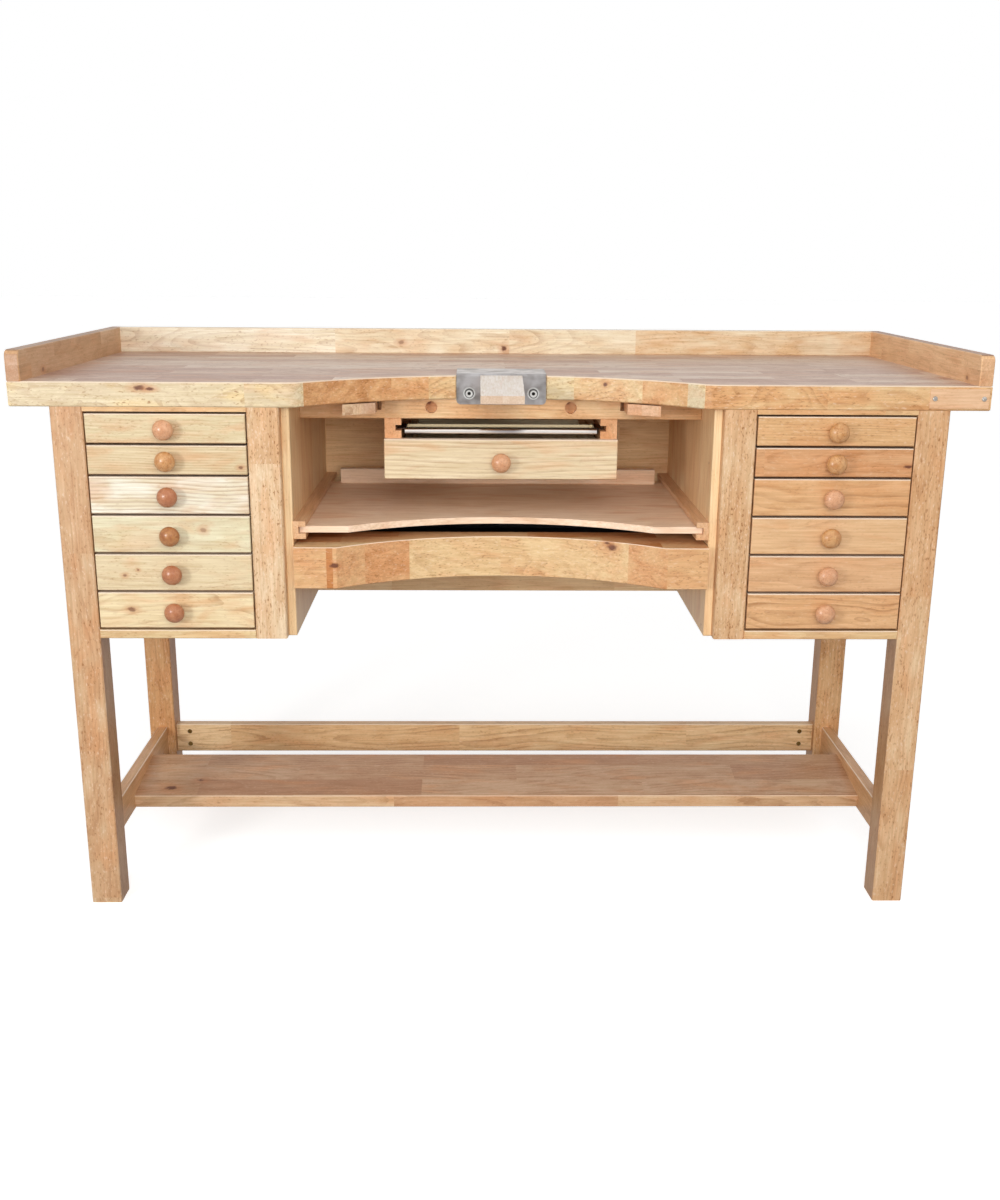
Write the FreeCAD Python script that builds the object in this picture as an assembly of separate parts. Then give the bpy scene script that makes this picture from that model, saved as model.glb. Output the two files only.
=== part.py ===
import FreeCAD, Part
import math
import os

# Jeweller's bench for one seated worker: a thick worktop hollowed at the front,
# a drawer case on each side of the knee space, a bench pin in a steel holder,
# a steel tray and drawer under it, a pull-out catch board and a sweeps drawer.
# Millimetres. X runs along the bench, Y from front to back, Z up from the floor.
# Shapes are drawn with Y = 0 on the worktop's front edge and saved about the
# centre of the footprint.

Vector = FreeCAD.Vector

# ---------------------------------------------------------------- driving sizes

# worktop
worktop_length = 1700.0
worktop_depth = 660.0
worktop_thickness = 43.0
worktop_height = 993.0
worktop_arris = 2.0

# the hollow in the front: the worktop sets the arc, and the other fronts are cut to it
knee_depth = 150.0
knee_return = 13.0
knee_corner_round = 45.0
catch_board_end_flat = 88.0
sweeps_end_flat = 76.5

# upstands round the worktop
upstand_height = 53.0
upstand_thickness = 24.0
upstand_corner_round = 12.0

# legs and posts
leg_side = 56.0
leg_end_overhang = 68.0
leg_front_setback = 2.0
leg_back_overhang = 117.0
leg_arris = 2.0

# stretchers and foot rest
stretcher_thickness = 22.0
stretcher_width = 65.0
stretcher_top = 171.0
tenon_length = 20.0
tenon_thickness = 12.0
tenon_shoulder = 9.0
foot_rest_width = 168.0
foot_rest_thickness = 27.0
foot_rest_tilt = 7.8
foot_rest_setback = 141.0
board_arris = 1.5

# drawer cases
opening_width = 282.0
panel_thickness = 15.0
panel_tongue = 8.0
case_bottom_thickness = 16.0
case_rail_thickness = 8.0
case_rail_depth = 22.0
back_panel_thickness = 12.0
back_panel_drop = 55.0
knee_panel_setback = 20.0

# side drawers, from the top down
shallow_front_height = 51.0
shallow_drawers = 2
deep_front_height = 66.0
deep_drawers = 4
drawer_gap = 4.0
drawer_end_gap = 2.5
drawer_front_thickness = 18.0
space_behind_boxes = 63.0
front_arris = 1.2

# parts common to every drawer box
box_side_thickness = 14.0
box_back_thickness = 12.0
box_bottom_thickness = 5.0
box_bottom_rise = 6.0
box_bottom_housing = 4.0
box_lift = 6.0
box_headroom = 7.0
box_inset = 1.0
runner_height = 10.0
runner_bite = 6.0
runner_clearance = 0.3

# knobs
knob_diameter = 36.0
knob_projection = 30.0
knob_rim_projection = 17.5
knob_rim_round = 3.0
knob_neck_diameter = 17.0
knob_neck_projection = 6.5
knob_foot_diameter = 22.0
knob_crown_flat = 8.0
knob_flats = 16
knob_crown_rings = 2

# apron rail under the worktop
apron_thickness = 22.0
apron_height = 37.0
apron_hole_diameter = 22.0
apron_hole_depth = 14.0
apron_hole_to_armrest = 99.0
apron_hole_drop = 16.0

# armrests in their notches
armrest_width = 56.0
armrest_to_knee_panel = 89.0
armrest_thickness = 19.0
armrest_to_back_panel = 100.0
armrest_headroom = 2.0
armrest_guide_wall = 10.0
armrest_guide_to_back_panel = 121.0
armrest_side_clearance = 0.5
notch_inner_gap = 7.0
notch_outer_gap = 3.0

# centre drawer, its hangers and the steel tray over it
centre_front_height = 74.0
centre_front_thickness = 20.0
centre_front_drop = 73.0
centre_knob_drop = 3.5
hanger_thickness = 31.0
hanger_to_back_panel = 43.0
hanger_to_guide = 1.5
hanger_lift = 7.0
tray_sheet = 1.2
tray_depth = 112.0
tray_lip = 10.0
tray_lip_round = 4.0
tray_end_gap = 6.5
tray_lift = 7.0
tray_wall_height = 8.0
tray_rim_height = 4.0
tray_flange_setback = 26.0
tray_flange_bite = 9.0
tray_groove_depth = 11.0
tray_groove_height = 10.5

# bench pin and its steel holder
holder_width = 165.0
holder_sheet = 3.0
holder_flange = 100.0
holder_drop = 10.0
holder_bend = 5.0
holder_corner_round = 8.0
holder_pocket_gap = 1.5
pin_width = 77.0
pin_length = 138.0
pin_root_height = 36.0
pin_tip_height = 14.0
pin_tenon_width = 64.0
pin_tenon_height = 24.0
pin_tenon_length = 45.0
pin_tenon_rise = 5.0
pin_fit = 0.3
holder_screw_spacing = 118.0
holder_screw_rise = 20.5
screw_diameter = 10.0
screw_length = 50.0
screw_head_diameter = 16.0
screw_head_height = 10.0
screw_socket = 8.0
screw_socket_depth = 5.0
washer_diameter = 23.0
washer_thickness = 1.5
screw_hole_clearance = 0.3

# pull-out catch board in its grooved runners
catch_board_thickness = 12.0
catch_board_drop = 215.0
catch_board_setback = 30.0
catch_strip_width = 22.0
catch_strip_height = 31.0
catch_strip_inset = 30.0
catch_runner_width = 22.0
catch_runner_height = 32.0
catch_groove_depth = 13.0
catch_groove_headroom = 0.5
catch_board_end_gap = 0.8

# sweeps drawer
sweeps_front_height = 76.0
sweeps_front_drop = 248.0
sweeps_front_waist = 37.8
sweeps_end_gap = 1.5
sweeps_box_inset = 2.0
pan_sheet = 1.0
pan_gap = 1.5
pan_wall_drop = 3.0

# bolts that hold the rear stretcher
bolt_diameter = 6.0
bolt_head_diameter = 15.0
bolt_head_height = 2.5
bolt_spacing = 30.0
bolt_end_in_nut = 2.0
nut_diameter = 10.0
nut_length = 16.0
nut_inset = 29.0
nut_sink = 1.0
bolt_clearance = 0.3


def hollow_depth(half_width):
    """How far the template arc runs back behind a chord of this half width."""
    return template_radius - math.sqrt(template_radius ** 2 - half_width ** 2)


# ------------------------------------------------------------- places worked out

worktop_end_x = worktop_length / 2
worktop_underside = worktop_height - worktop_thickness
origin_y = (worktop_depth + leg_front_setback - knob_projection) / 2

leg_outer_x = worktop_end_x - leg_end_overhang
leg_inner_x = leg_outer_x - leg_side
leg_middle_x = leg_outer_x - leg_side / 2
front_y = leg_front_setback
front_leg_back_y = front_y + leg_side
back_y = worktop_depth - leg_back_overhang
rear_leg_front_y = back_y - leg_side
rear_leg_middle_y = back_y - leg_side / 2
stretcher_bottom = stretcher_top - stretcher_width

post_outer_x = leg_inner_x - opening_width
post_inner_x = post_outer_x - leg_side
knee_x = post_inner_x - panel_thickness
box_back_y = back_y - space_behind_boxes
knee_panel_front_y = front_y + knee_panel_setback
knee_half_width = knee_x - knee_return
template_radius = (knee_half_width ** 2 + knee_depth ** 2) / (2 * knee_depth)
template_centre_y = knee_depth - template_radius

front_heights = [shallow_front_height] * shallow_drawers + [deep_front_height] * deep_drawers
opening_top = worktop_underside - case_rail_thickness
opening_height = sum(front_heights) + drawer_gap * (len(front_heights) + 1)
case_bottom_top = opening_top - opening_height
case_underside = case_bottom_top - case_bottom_thickness

apron_front_y = knee_depth
apron_back_y = apron_front_y + apron_thickness
apron_bottom = worktop_underside - apron_height

centre_front_top = worktop_underside - centre_front_drop
centre_front_bottom = centre_front_top - centre_front_height
armrest_outer_x = knee_x - armrest_to_knee_panel
armrest_inner_x = armrest_outer_x - armrest_width
armrest_top = worktop_underside - armrest_headroom
armrest_bottom = armrest_top - armrest_thickness
armrest_seat = armrest_bottom - runner_clearance
armrest_guide_inner_x = armrest_inner_x - armrest_side_clearance - armrest_guide_wall

hanger_outer_x = armrest_guide_inner_x - hanger_to_guide
hanger_inner_x = hanger_outer_x - hanger_thickness
hanger_back_y = back_y - hanger_to_back_panel

catch_board_top = worktop_underside - catch_board_drop
sweeps_front_top = worktop_underside - sweeps_front_drop
sweeps_front_bottom = sweeps_front_top - sweeps_front_height
sweeps_half_width = knee_x - sweeps_end_gap
sweeps_hollow_half_width = sweeps_half_width - sweeps_end_flat
sweeps_front_back_y = front_y + hollow_depth(sweeps_hollow_half_width) + sweeps_front_waist

holder_back_y = knee_depth
holder_front_y = holder_back_y - holder_sheet
holder_bottom = worktop_underside - holder_drop
pin_bottom = worktop_height - pin_root_height
holder_screw_z = holder_bottom + holder_screw_rise

parts_folder = "parts"
os.makedirs(parts_folder, exist_ok=True)


# ------------------------------------------------------------------ small helpers

def box(x0, x1, y0, y1, z0, z1):
    """A block between two corners."""
    return Part.makeBox(x1 - x0, y1 - y0, z1 - z0, Vector(x0, y0, z0))


def rod(diameter, start, direction, length):
    """A round bar from a start point."""
    return Part.makeCylinder(diameter / 2, length, start, direction)


def mirrored(shape):
    """The same shape on the other side of the bench."""
    return shape.mirror(Vector(0, 0, 0), Vector(1, 0, 0))


def pair(shape):
    """The shape and its mirror image."""
    return [mirrored(shape), shape]


def runs_along(edge, axis):
    """True for a straight edge along the axis."""
    lengths = {"x": edge.BoundBox.XLength, "y": edge.BoundBox.YLength, "z": edge.BoundBox.ZLength}
    own_length = lengths.pop(axis)
    return own_length > 1.0 and max(lengths.values()) < 0.01


def ease(shape, size, *axes):
    """Takes a small chamfer off every edge that runs along the axes."""
    edges = [edge for edge in shape.Edges for axis in axes if runs_along(edge, axis)]
    return shape.makeChamfer(size, edges)


def ease_face(shape, size, y):
    """Takes a small chamfer off the edges round the front face at this Y."""
    edges = []
    for edge in shape.Edges:
        if abs(edge.BoundBox.YMin - y) < 0.01 and abs(edge.BoundBox.YMax - y) < 0.01:
            edges.append(edge)
    return shape.makeChamfer(size, edges)


def hollowed_block(half_width, hollow_half_width, y0, y1, z0, z1):
    """A board whose front edge is straight at its ends and hollowed to the template."""
    hollow_y = y0 + hollow_depth(hollow_half_width)
    left_end = Vector(-half_width, y0, z0)
    hollow_left = Vector(-hollow_half_width, y0, z0)
    hollow_middle = Vector(0, hollow_y, z0)
    hollow_right = Vector(hollow_half_width, y0, z0)
    right_end = Vector(half_width, y0, z0)
    right_back = Vector(half_width, y1, z0)
    left_back = Vector(-half_width, y1, z0)
    outline = Part.Wire([
        Part.LineSegment(left_end, hollow_left).toShape(),
        Part.Arc(hollow_left, hollow_middle, hollow_right).toShape(),
        Part.LineSegment(hollow_right, right_end).toShape(),
        Part.LineSegment(right_end, right_back).toShape(),
        Part.LineSegment(right_back, left_back).toShape(),
        Part.LineSegment(left_back, left_end).toShape(),
    ])
    return Part.Face(outline).extrude(Vector(0, 0, z1 - z0))


def profile_along_x(points, x0, x1):
    """A prism along X from its outline, given as (y, z) corners."""
    corners = [Vector(x0, y, z) for y, z in points]
    outline = Part.makePolygon(corners + corners[:1])
    return Part.Face(outline).extrude(Vector(x1 - x0, 0, 0))


def save(name, solids):
    """Writes one sub-part, moved so that the footprint's centre is the origin."""
    group = solids[0] if len(solids) == 1 else Part.makeCompound(solids)
    group.translate(Vector(0, -origin_y, 0))
    group.exportStep(os.path.join(parts_folder, name + ".step"))


# ------------------------------------------------------------------------ worktop

def make_worktop():
    """The slab, hollowed for the worker, with a flat pocket and mortise for the pin."""
    slab = hollowed_block(worktop_end_x, knee_half_width, 0, worktop_depth,
                          worktop_underside, worktop_height)
    shoulders = []
    for edge in slab.Edges:
        at_shoulder = abs(abs(edge.BoundBox.Center.x) - knee_half_width) < 0.01
        if at_shoulder and runs_along(edge, "z"):
            shoulders.append(edge)
    slab = slab.makeFillet(knee_corner_round, shoulders)
    rims = [edge for edge in slab.Edges if edge.BoundBox.ZLength < 0.01]
    slab = slab.makeChamfer(worktop_arris, rims)
    pocket_half_width = holder_width / 2 + holder_pocket_gap
    slab = slab.cut(box(-pocket_half_width, pocket_half_width, 0, holder_back_y,
                        worktop_underside, worktop_height))
    tenon_bottom = pin_bottom + pin_tenon_rise
    mortise_half_width = pin_tenon_width / 2 + pin_fit
    slab = slab.cut(box(-mortise_half_width, mortise_half_width,
                        holder_back_y, holder_front_y + pin_tenon_length + pin_fit,
                        tenon_bottom - pin_fit, tenon_bottom + pin_tenon_height + pin_fit))
    for x in (-holder_screw_spacing / 2, holder_screw_spacing / 2):
        hole_length = screw_length - holder_sheet
        slab = slab.cut(rod(screw_diameter + 2 * screw_hole_clearance,
                            Vector(x, holder_back_y, holder_screw_z),
                            Vector(0, 1, 0), hole_length))
    return slab


def make_back_upstand():
    inner_x = worktop_end_x - upstand_thickness
    board = box(-inner_x, inner_x, worktop_depth - upstand_thickness, worktop_depth,
                worktop_height, worktop_height + upstand_height)
    return ease(board, board_arris, "x")


def make_side_upstand():
    board = box(worktop_end_x - upstand_thickness, worktop_end_x, 0, worktop_depth,
                worktop_height, worktop_height + upstand_height)
    for edge in board.Edges:
        at_front = abs(edge.BoundBox.YMax) < 0.01
        at_top = edge.BoundBox.ZMin > worktop_height + upstand_height - 0.01
        if at_front and at_top and runs_along(edge, "x"):
            board = board.makeFillet(upstand_corner_round, [edge])
    top_edges = []
    for edge in board.Edges:
        near_top = edge.BoundBox.ZMin > worktop_height + upstand_height - 0.01
        if near_top and runs_along(edge, "y"):
            top_edges.append(edge)
    return board.makeChamfer(board_arris, top_edges)


save("worktop", [make_worktop()])
save("back_upstand", [make_back_upstand()])
right_upstand = make_side_upstand()
save("left_upstand", [mirrored(right_upstand)])
save("right_upstand", [right_upstand])


# --------------------------------------------------- legs, stretchers, foot rest

def panel_groove(y0, y1):
    """The groove in a leg that takes the end panel's tongue."""
    half = panel_thickness / 2
    return box(leg_middle_x - half, leg_middle_x + half, y0, y1,
               case_underside, worktop_underside)


def stretcher_mortise(y0, y1):
    """The mortise in a leg that takes a side stretcher's tenon."""
    half = tenon_thickness / 2
    return box(leg_middle_x - half, leg_middle_x + half, y0, y1,
               stretcher_bottom + tenon_shoulder, stretcher_top - tenon_shoulder)


def bolt_heights():
    middle = (stretcher_top + stretcher_bottom) / 2
    return [middle - bolt_spacing / 2, middle + bolt_spacing / 2]


def make_front_leg():
    leg = box(leg_inner_x, leg_outer_x, front_y, front_leg_back_y, 0, worktop_underside)
    leg = ease(leg, leg_arris, "z")
    leg = leg.cut(panel_groove(front_leg_back_y - panel_tongue, front_leg_back_y))
    return leg.cut(stretcher_mortise(front_leg_back_y - tenon_length, front_leg_back_y))


def make_rear_leg():
    leg = box(leg_inner_x, leg_outer_x, rear_leg_front_y, back_y, 0, worktop_underside)
    leg = ease(leg, leg_arris, "z")
    leg = leg.cut(panel_groove(rear_leg_front_y, rear_leg_front_y + panel_tongue))
    leg = leg.cut(stretcher_mortise(rear_leg_front_y, rear_leg_front_y + tenon_length))
    for z in bolt_heights():
        outer_end = Vector(leg_outer_x, rear_leg_middle_y, z)
        leg = leg.cut(rod(bolt_diameter + 2 * bolt_clearance, outer_end, Vector(-1, 0, 0),
                          leg_side))
    return leg


def make_side_stretcher():
    half = stretcher_thickness / 2
    rail = box(leg_middle_x - half, leg_middle_x + half, front_leg_back_y, rear_leg_front_y,
               stretcher_bottom, stretcher_top)
    rail = ease(rail, board_arris, "y")
    half_tenon = tenon_thickness / 2
    tenons = box(leg_middle_x - half_tenon, leg_middle_x + half_tenon,
                 front_leg_back_y - tenon_length, rear_leg_front_y + tenon_length,
                 stretcher_bottom + tenon_shoulder, stretcher_top - tenon_shoulder)
    return rail.fuse(tenons).removeSplitter()


def make_rear_stretcher():
    half = stretcher_thickness / 2
    front = rear_leg_middle_y - half
    rail = box(-leg_inner_x, leg_inner_x, front, rear_leg_middle_y + half,
               stretcher_bottom, stretcher_top)
    rail = ease(rail, board_arris, "x")
    hole_depth = nut_sink + nut_length + bolt_clearance
    bolt_hole_length = nut_inset
    for z in bolt_heights():
        nut_hole = rod(nut_diameter + 2 * bolt_clearance,
                       Vector(leg_inner_x - nut_inset, front, z), Vector(0, 1, 0), hole_depth)
        bolt_hole = rod(bolt_diameter + 2 * bolt_clearance,
                        Vector(leg_inner_x, rear_leg_middle_y, z), Vector(-1, 0, 0),
                        bolt_hole_length)
        for hole in pair(nut_hole) + pair(bolt_hole):
            rail = rail.cut(hole)
    return rail


def make_bolt(z):
    """A long connector bolt, its wide flat head on the leg's outer face."""
    length = leg_side + nut_inset + bolt_end_in_nut
    outer_end = Vector(leg_outer_x, rear_leg_middle_y, z)
    head = rod(bolt_head_diameter, outer_end, Vector(1, 0, 0), bolt_head_height)
    shank = rod(bolt_diameter, outer_end, Vector(-1, 0, 0), length)
    return head.fuse(shank).removeSplitter()


def make_barrel_nut(z):
    """The cross dowel that the bolt screws into, seen in the stretcher's face."""
    start_y = rear_leg_middle_y - stretcher_thickness / 2 + nut_sink
    nut_x = leg_inner_x - nut_inset
    nut = rod(nut_diameter, Vector(nut_x, start_y, z), Vector(0, 1, 0), nut_length)
    thread = rod(bolt_diameter + bolt_clearance, Vector(nut_x + nut_diameter, rear_leg_middle_y, z),
                 Vector(-1, 0, 0), nut_diameter + bolt_end_in_nut + bolt_clearance)
    return nut.cut(thread)


def make_foot_rest():
    """A thick board between the side stretchers, tilted up to the back."""
    end_x = leg_middle_x - stretcher_thickness / 2
    lean = math.radians(foot_rest_tilt)
    along_y = math.cos(lean)
    along_z = math.sin(lean)
    front_bottom_y = front_leg_back_y + foot_rest_setback
    front_bottom_z = stretcher_bottom + board_arris
    front_bottom = (front_bottom_y, front_bottom_z)
    back_bottom = (front_bottom_y + foot_rest_width * along_y,
                   front_bottom_z + foot_rest_width * along_z)
    back_top = (back_bottom[0] - foot_rest_thickness * along_z,
                back_bottom[1] + foot_rest_thickness * along_y)
    front_top = (front_bottom_y - foot_rest_thickness * along_z,
                 front_bottom_z + foot_rest_thickness * along_y)
    board = profile_along_x([front_bottom, back_bottom, back_top, front_top], -end_x, end_x)
    return ease(board, board_arris, "x")


right_front_leg = make_front_leg()
right_rear_leg = make_rear_leg()
save("front_left_leg", [mirrored(right_front_leg)])
save("front_right_leg", [right_front_leg])
save("rear_left_leg", [mirrored(right_rear_leg)])
save("rear_right_leg", [right_rear_leg])
save("side_stretchers", pair(make_side_stretcher()))
save("rear_stretcher", [make_rear_stretcher()])
save("foot_rest", [make_foot_rest()])
bolts = []
nuts = []
for height in bolt_heights():
    bolts += pair(make_bolt(height))
    nuts += pair(make_barrel_nut(height))
save("stretcher_bolts", bolts)
save("barrel_nuts", nuts)


# ------------------------------------------------------------------- drawer cases

def make_post(y0):
    post = box(post_inner_x, post_outer_x, y0, y0 + leg_side, case_underside, worktop_underside)
    return ease(post, leg_arris, "z")


def make_end_panel():
    """The case's outer wall, tongued into both legs."""
    half = panel_thickness / 2
    return box(leg_middle_x - half, leg_middle_x + half,
               front_leg_back_y - panel_tongue, rear_leg_front_y + panel_tongue,
               case_underside, worktop_underside)


def make_knee_panel():
    """The wall between the case and the knee space, set back behind the post."""
    panel = box(knee_x, post_inner_x, knee_panel_front_y, back_y,
                case_underside, worktop_underside)
    return ease_face(panel, board_arris, knee_panel_front_y)


def make_case_bottom():
    """The board under the lowest drawer, notched round the posts and legs."""
    inner_x = leg_middle_x - panel_thickness / 2
    board = box(post_inner_x, inner_x, front_y, back_y, case_underside, case_bottom_top)
    for x0, x1 in ((post_inner_x, post_outer_x), (leg_inner_x, leg_outer_x)):
        for y0 in (front_y, rear_leg_front_y):
            board = board.cut(box(x0, x1, y0, y0 + leg_side, case_underside, case_bottom_top))
    return ease_face(board, board_arris, front_y)


def make_case_rail():
    """The thin strip that closes the case under the worktop."""
    return box(post_outer_x, leg_inner_x, front_y, front_y + case_rail_depth,
               opening_top, worktop_underside)


def make_back_panel():
    return box(-leg_outer_x, leg_outer_x, back_y, back_y + back_panel_thickness,
               case_underside - back_panel_drop, worktop_underside)


save("case_posts", pair(make_post(front_y)) + pair(make_post(rear_leg_front_y)))
save("end_panels", pair(make_end_panel()))
save("knee_panels", pair(make_knee_panel()))
save("case_bottoms", pair(make_case_bottom()))
save("case_rails", pair(make_case_rail()))
save("back_panel", [make_back_panel()])


# ------------------------------------------------------------------------ drawers

def make_drawer_box(x0, x1, y0, y1, z0, z1):
    """Two grooved sides, a back and a bottom. The sides run on strips in the grooves."""
    groove_z0, groove_z1 = runner_groove(z0, z1)
    groove_bite = runner_bite + runner_clearance
    bottom_z0 = z0 + box_bottom_rise
    bottom_z1 = bottom_z0 + box_bottom_thickness
    inner_x0 = x0 + box_side_thickness
    inner_x1 = x1 - box_side_thickness
    left_side = box(x0, inner_x0, y0, y1, z0, z1)
    left_side = left_side.cut(box(x0, x0 + groove_bite, y0, y1, groove_z0, groove_z1))
    right_side = box(inner_x1, x1, y0, y1, z0, z1)
    right_side = right_side.cut(box(x1 - groove_bite, x1, y0, y1, groove_z0, groove_z1))
    bottom = box(inner_x0 - box_bottom_housing, inner_x1 + box_bottom_housing, y0, y1,
                 bottom_z0, bottom_z1)
    back = box(inner_x0, inner_x1, y1 - box_back_thickness, y1, bottom_z1, z1)
    return [left_side.cut(bottom), right_side.cut(bottom), back, bottom]


def runner_groove(z0, z1):
    """Lowest and highest Z of the groove in a box side, a little above its middle."""
    middle = (z0 + z1) / 2 + box_bottom_thickness
    half = runner_height / 2 + runner_clearance
    return middle - half, middle + half


def make_runner(wall_x, side_x, y0, y1, z0, z1):
    """The strip on a wall that reaches into the groove of a box side."""
    groove_z0, groove_z1 = runner_groove(z0, z1)
    toward_side = 1 if side_x > wall_x else -1
    tip_x = side_x + toward_side * runner_bite
    return box(min(wall_x, tip_x), max(wall_x, tip_x), y0, y1,
               groove_z0 + runner_clearance, groove_z1 - runner_clearance)


def make_knob(x, y, z):
    """A turned knob with its axis along Y. It has flats round it, as there are many of them."""
    cap = knob_diameter / 2
    tip = knob_crown_flat / 2
    rings = [
        (knob_foot_diameter / 2, 0),
        (knob_neck_diameter / 2, knob_neck_projection),
        (cap - knob_rim_round / 2, knob_rim_projection - knob_rim_round),
        (cap, knob_rim_projection),
    ]
    rise = knob_projection - knob_rim_projection
    for ring in range(1, knob_crown_rings + 1):
        angle = math.radians(90) * ring / knob_crown_rings
        radius = tip + (cap - tip) * math.cos(angle)
        rings.append((radius, knob_rim_projection + rise * math.sin(angle)))
    loops = []
    for radius, projection in rings:
        loop = []
        for flat in range(knob_flats):
            turn = 2 * math.pi * flat / knob_flats
            loop.append(Vector(x + radius * math.cos(turn), y - projection,
                               z + radius * math.sin(turn)))
        loops.append(loop)
    outlines = [loops[0], loops[-1]]
    for near, far in zip(loops, loops[1:]):
        for flat in range(knob_flats):
            outlines.append([near[flat - 1], near[flat], far[flat], far[flat - 1]])
    faces = [Part.Face(Part.makePolygon(outline + outline[:1])) for outline in outlines]
    return Part.makeSolid(Part.makeShell(faces))


def side_drawer(front_top, front_height):
    """One right-hand drawer and knob, and its two runners."""
    front_bottom = front_top - front_height
    x0 = post_outer_x + drawer_end_gap
    x1 = leg_inner_x - drawer_end_gap
    knob_x = (x0 + x1) / 2
    knob_z = (front_top + front_bottom) / 2
    box_y0 = front_y + drawer_front_thickness
    box_x0 = x0 + box_inset
    box_x1 = x1 - box_inset
    box_z0 = front_bottom + box_lift
    box_z1 = front_top - box_headroom
    front = box(x0, x1, front_y, box_y0, front_bottom, front_top)
    front = ease_face(front, front_arris, front_y)
    pieces = [front] + make_drawer_box(box_x0, box_x1, box_y0, box_back_y, box_z0, box_z1)
    knob = make_knob(knob_x, front_y, knob_z)
    runner_y0 = box_y0 + 1.0
    runners = [
        make_runner(post_outer_x, box_x0, runner_y0, back_y, box_z0, box_z1),
        make_runner(leg_inner_x, box_x1, runner_y0, back_y, box_z0, box_z1),
    ]
    return pieces, knob, runners


all_runners = []
drawer_top = opening_top - drawer_gap
for number, height in enumerate(front_heights, start=1):
    pieces, knob, runners = side_drawer(drawer_top, height)
    save("left_drawer_%d" % number, [mirrored(piece) for piece in pieces])
    save("right_drawer_%d" % number, pieces)
    save("left_knob_%d" % number, [mirrored(knob)])
    save("right_knob_%d" % number, [knob])
    for runner in runners:
        all_runners += pair(runner)
    drawer_top -= height + drawer_gap


# ---------------------------------------------------------- apron rail, armrests

def make_apron_rail():
    """The rail under the worktop, with blind round holes and open notches for the armrests."""
    rail = box(-knee_x, knee_x, apron_front_y, apron_back_y, apron_bottom, worktop_underside)
    rail = ease_face(rail, board_arris, apron_front_y)
    hole_x = armrest_inner_x - apron_hole_to_armrest
    hole = rod(apron_hole_diameter,
               Vector(hole_x, apron_front_y, worktop_underside - apron_hole_drop),
               Vector(0, 1, 0), apron_hole_depth)
    notch = box(armrest_inner_x - notch_inner_gap, armrest_outer_x + notch_outer_gap,
                apron_front_y, apron_back_y, armrest_seat, worktop_underside)
    for cutter in pair(hole) + pair(notch):
        rail = rail.cut(cutter)
    return rail


def make_armrest_guide():
    """A channel under the worktop that carries the armrest behind the rail."""
    inner = armrest_guide_inner_x + armrest_guide_wall
    outer = armrest_outer_x + armrest_side_clearance
    y1 = back_y - armrest_guide_to_back_panel
    channel = box(armrest_guide_inner_x, outer + armrest_guide_wall, apron_back_y, y1,
                  armrest_seat - armrest_guide_wall, worktop_underside)
    return channel.cut(box(inner, outer, apron_back_y, y1, armrest_seat, worktop_underside))


def make_armrest():
    """A flat bar whose end is cut to the same hollow as the worktop."""
    tip_y = template_centre_y + math.sqrt(template_radius ** 2 - armrest_outer_x ** 2)
    bar = box(armrest_inner_x, armrest_outer_x, tip_y, back_y - armrest_to_back_panel,
              armrest_bottom, armrest_top)
    hollow = Part.makeCylinder(template_radius, armrest_thickness,
                               Vector(0, template_centre_y, armrest_bottom))
    return bar.cut(hollow)


save("apron_rail", [make_apron_rail()])
save("armrest_guides", pair(make_armrest_guide()))
right_armrest = make_armrest()
save("left_armrest", [mirrored(right_armrest)])
save("right_armrest", [right_armrest])


# ------------------------------------------------------ centre drawer, steel tray

def tray_heights():
    """Z of the tray's underside and of the underside of its side flanges."""
    underside = centre_front_top + tray_lift
    return underside, underside + tray_wall_height - tray_sheet


def make_hanger():
    """A board under the worktop that carries the centre drawer and the tray."""
    hanger = box(hanger_inner_x, hanger_outer_x, apron_front_y, hanger_back_y,
                 centre_front_bottom + hanger_lift, worktop_underside)
    hanger = hanger.cut(box(hanger_inner_x, hanger_outer_x, apron_front_y, apron_back_y,
                            apron_bottom, worktop_underside))
    groove_z0 = tray_heights()[1] - runner_clearance
    groove = box(hanger_inner_x, hanger_inner_x + tray_groove_depth, apron_front_y, hanger_back_y,
                 groove_z0, groove_z0 + tray_groove_height)
    return hanger.cut(groove)


def make_tray():
    """A folded sheet tray with a round lip; its side flanges slide in the hangers."""
    underside, flange_z = tray_heights()
    y0 = apron_front_y
    y1 = y0 + tray_depth
    half = hanger_inner_x - tray_end_gap
    lip = box(-half, half, y0, y0 + tray_lip, underside, underside + tray_lip)
    lip = lip.makeFillet(tray_lip_round, [edge for edge in lip.Edges if runs_along(edge, "x")])
    floor_y0 = y0 + tray_lip / 2
    floor = box(-half, half, floor_y0, y1, underside, underside + tray_sheet)
    rim = box(-half, half, y1 - tray_sheet, y1, underside, underside + tray_rim_height)
    wall_y0 = y0 + tray_lip / 2
    wall = box(half - tray_sheet, half, wall_y0, y1, underside, flange_z + tray_sheet)
    flange = box(half - tray_sheet, hanger_inner_x + tray_flange_bite, y0 + tray_flange_setback, y1,
                 flange_z, flange_z + tray_sheet)
    tray = lip.multiFuse([floor, rim] + pair(wall) + pair(flange))
    return tray.removeSplitter()


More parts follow.
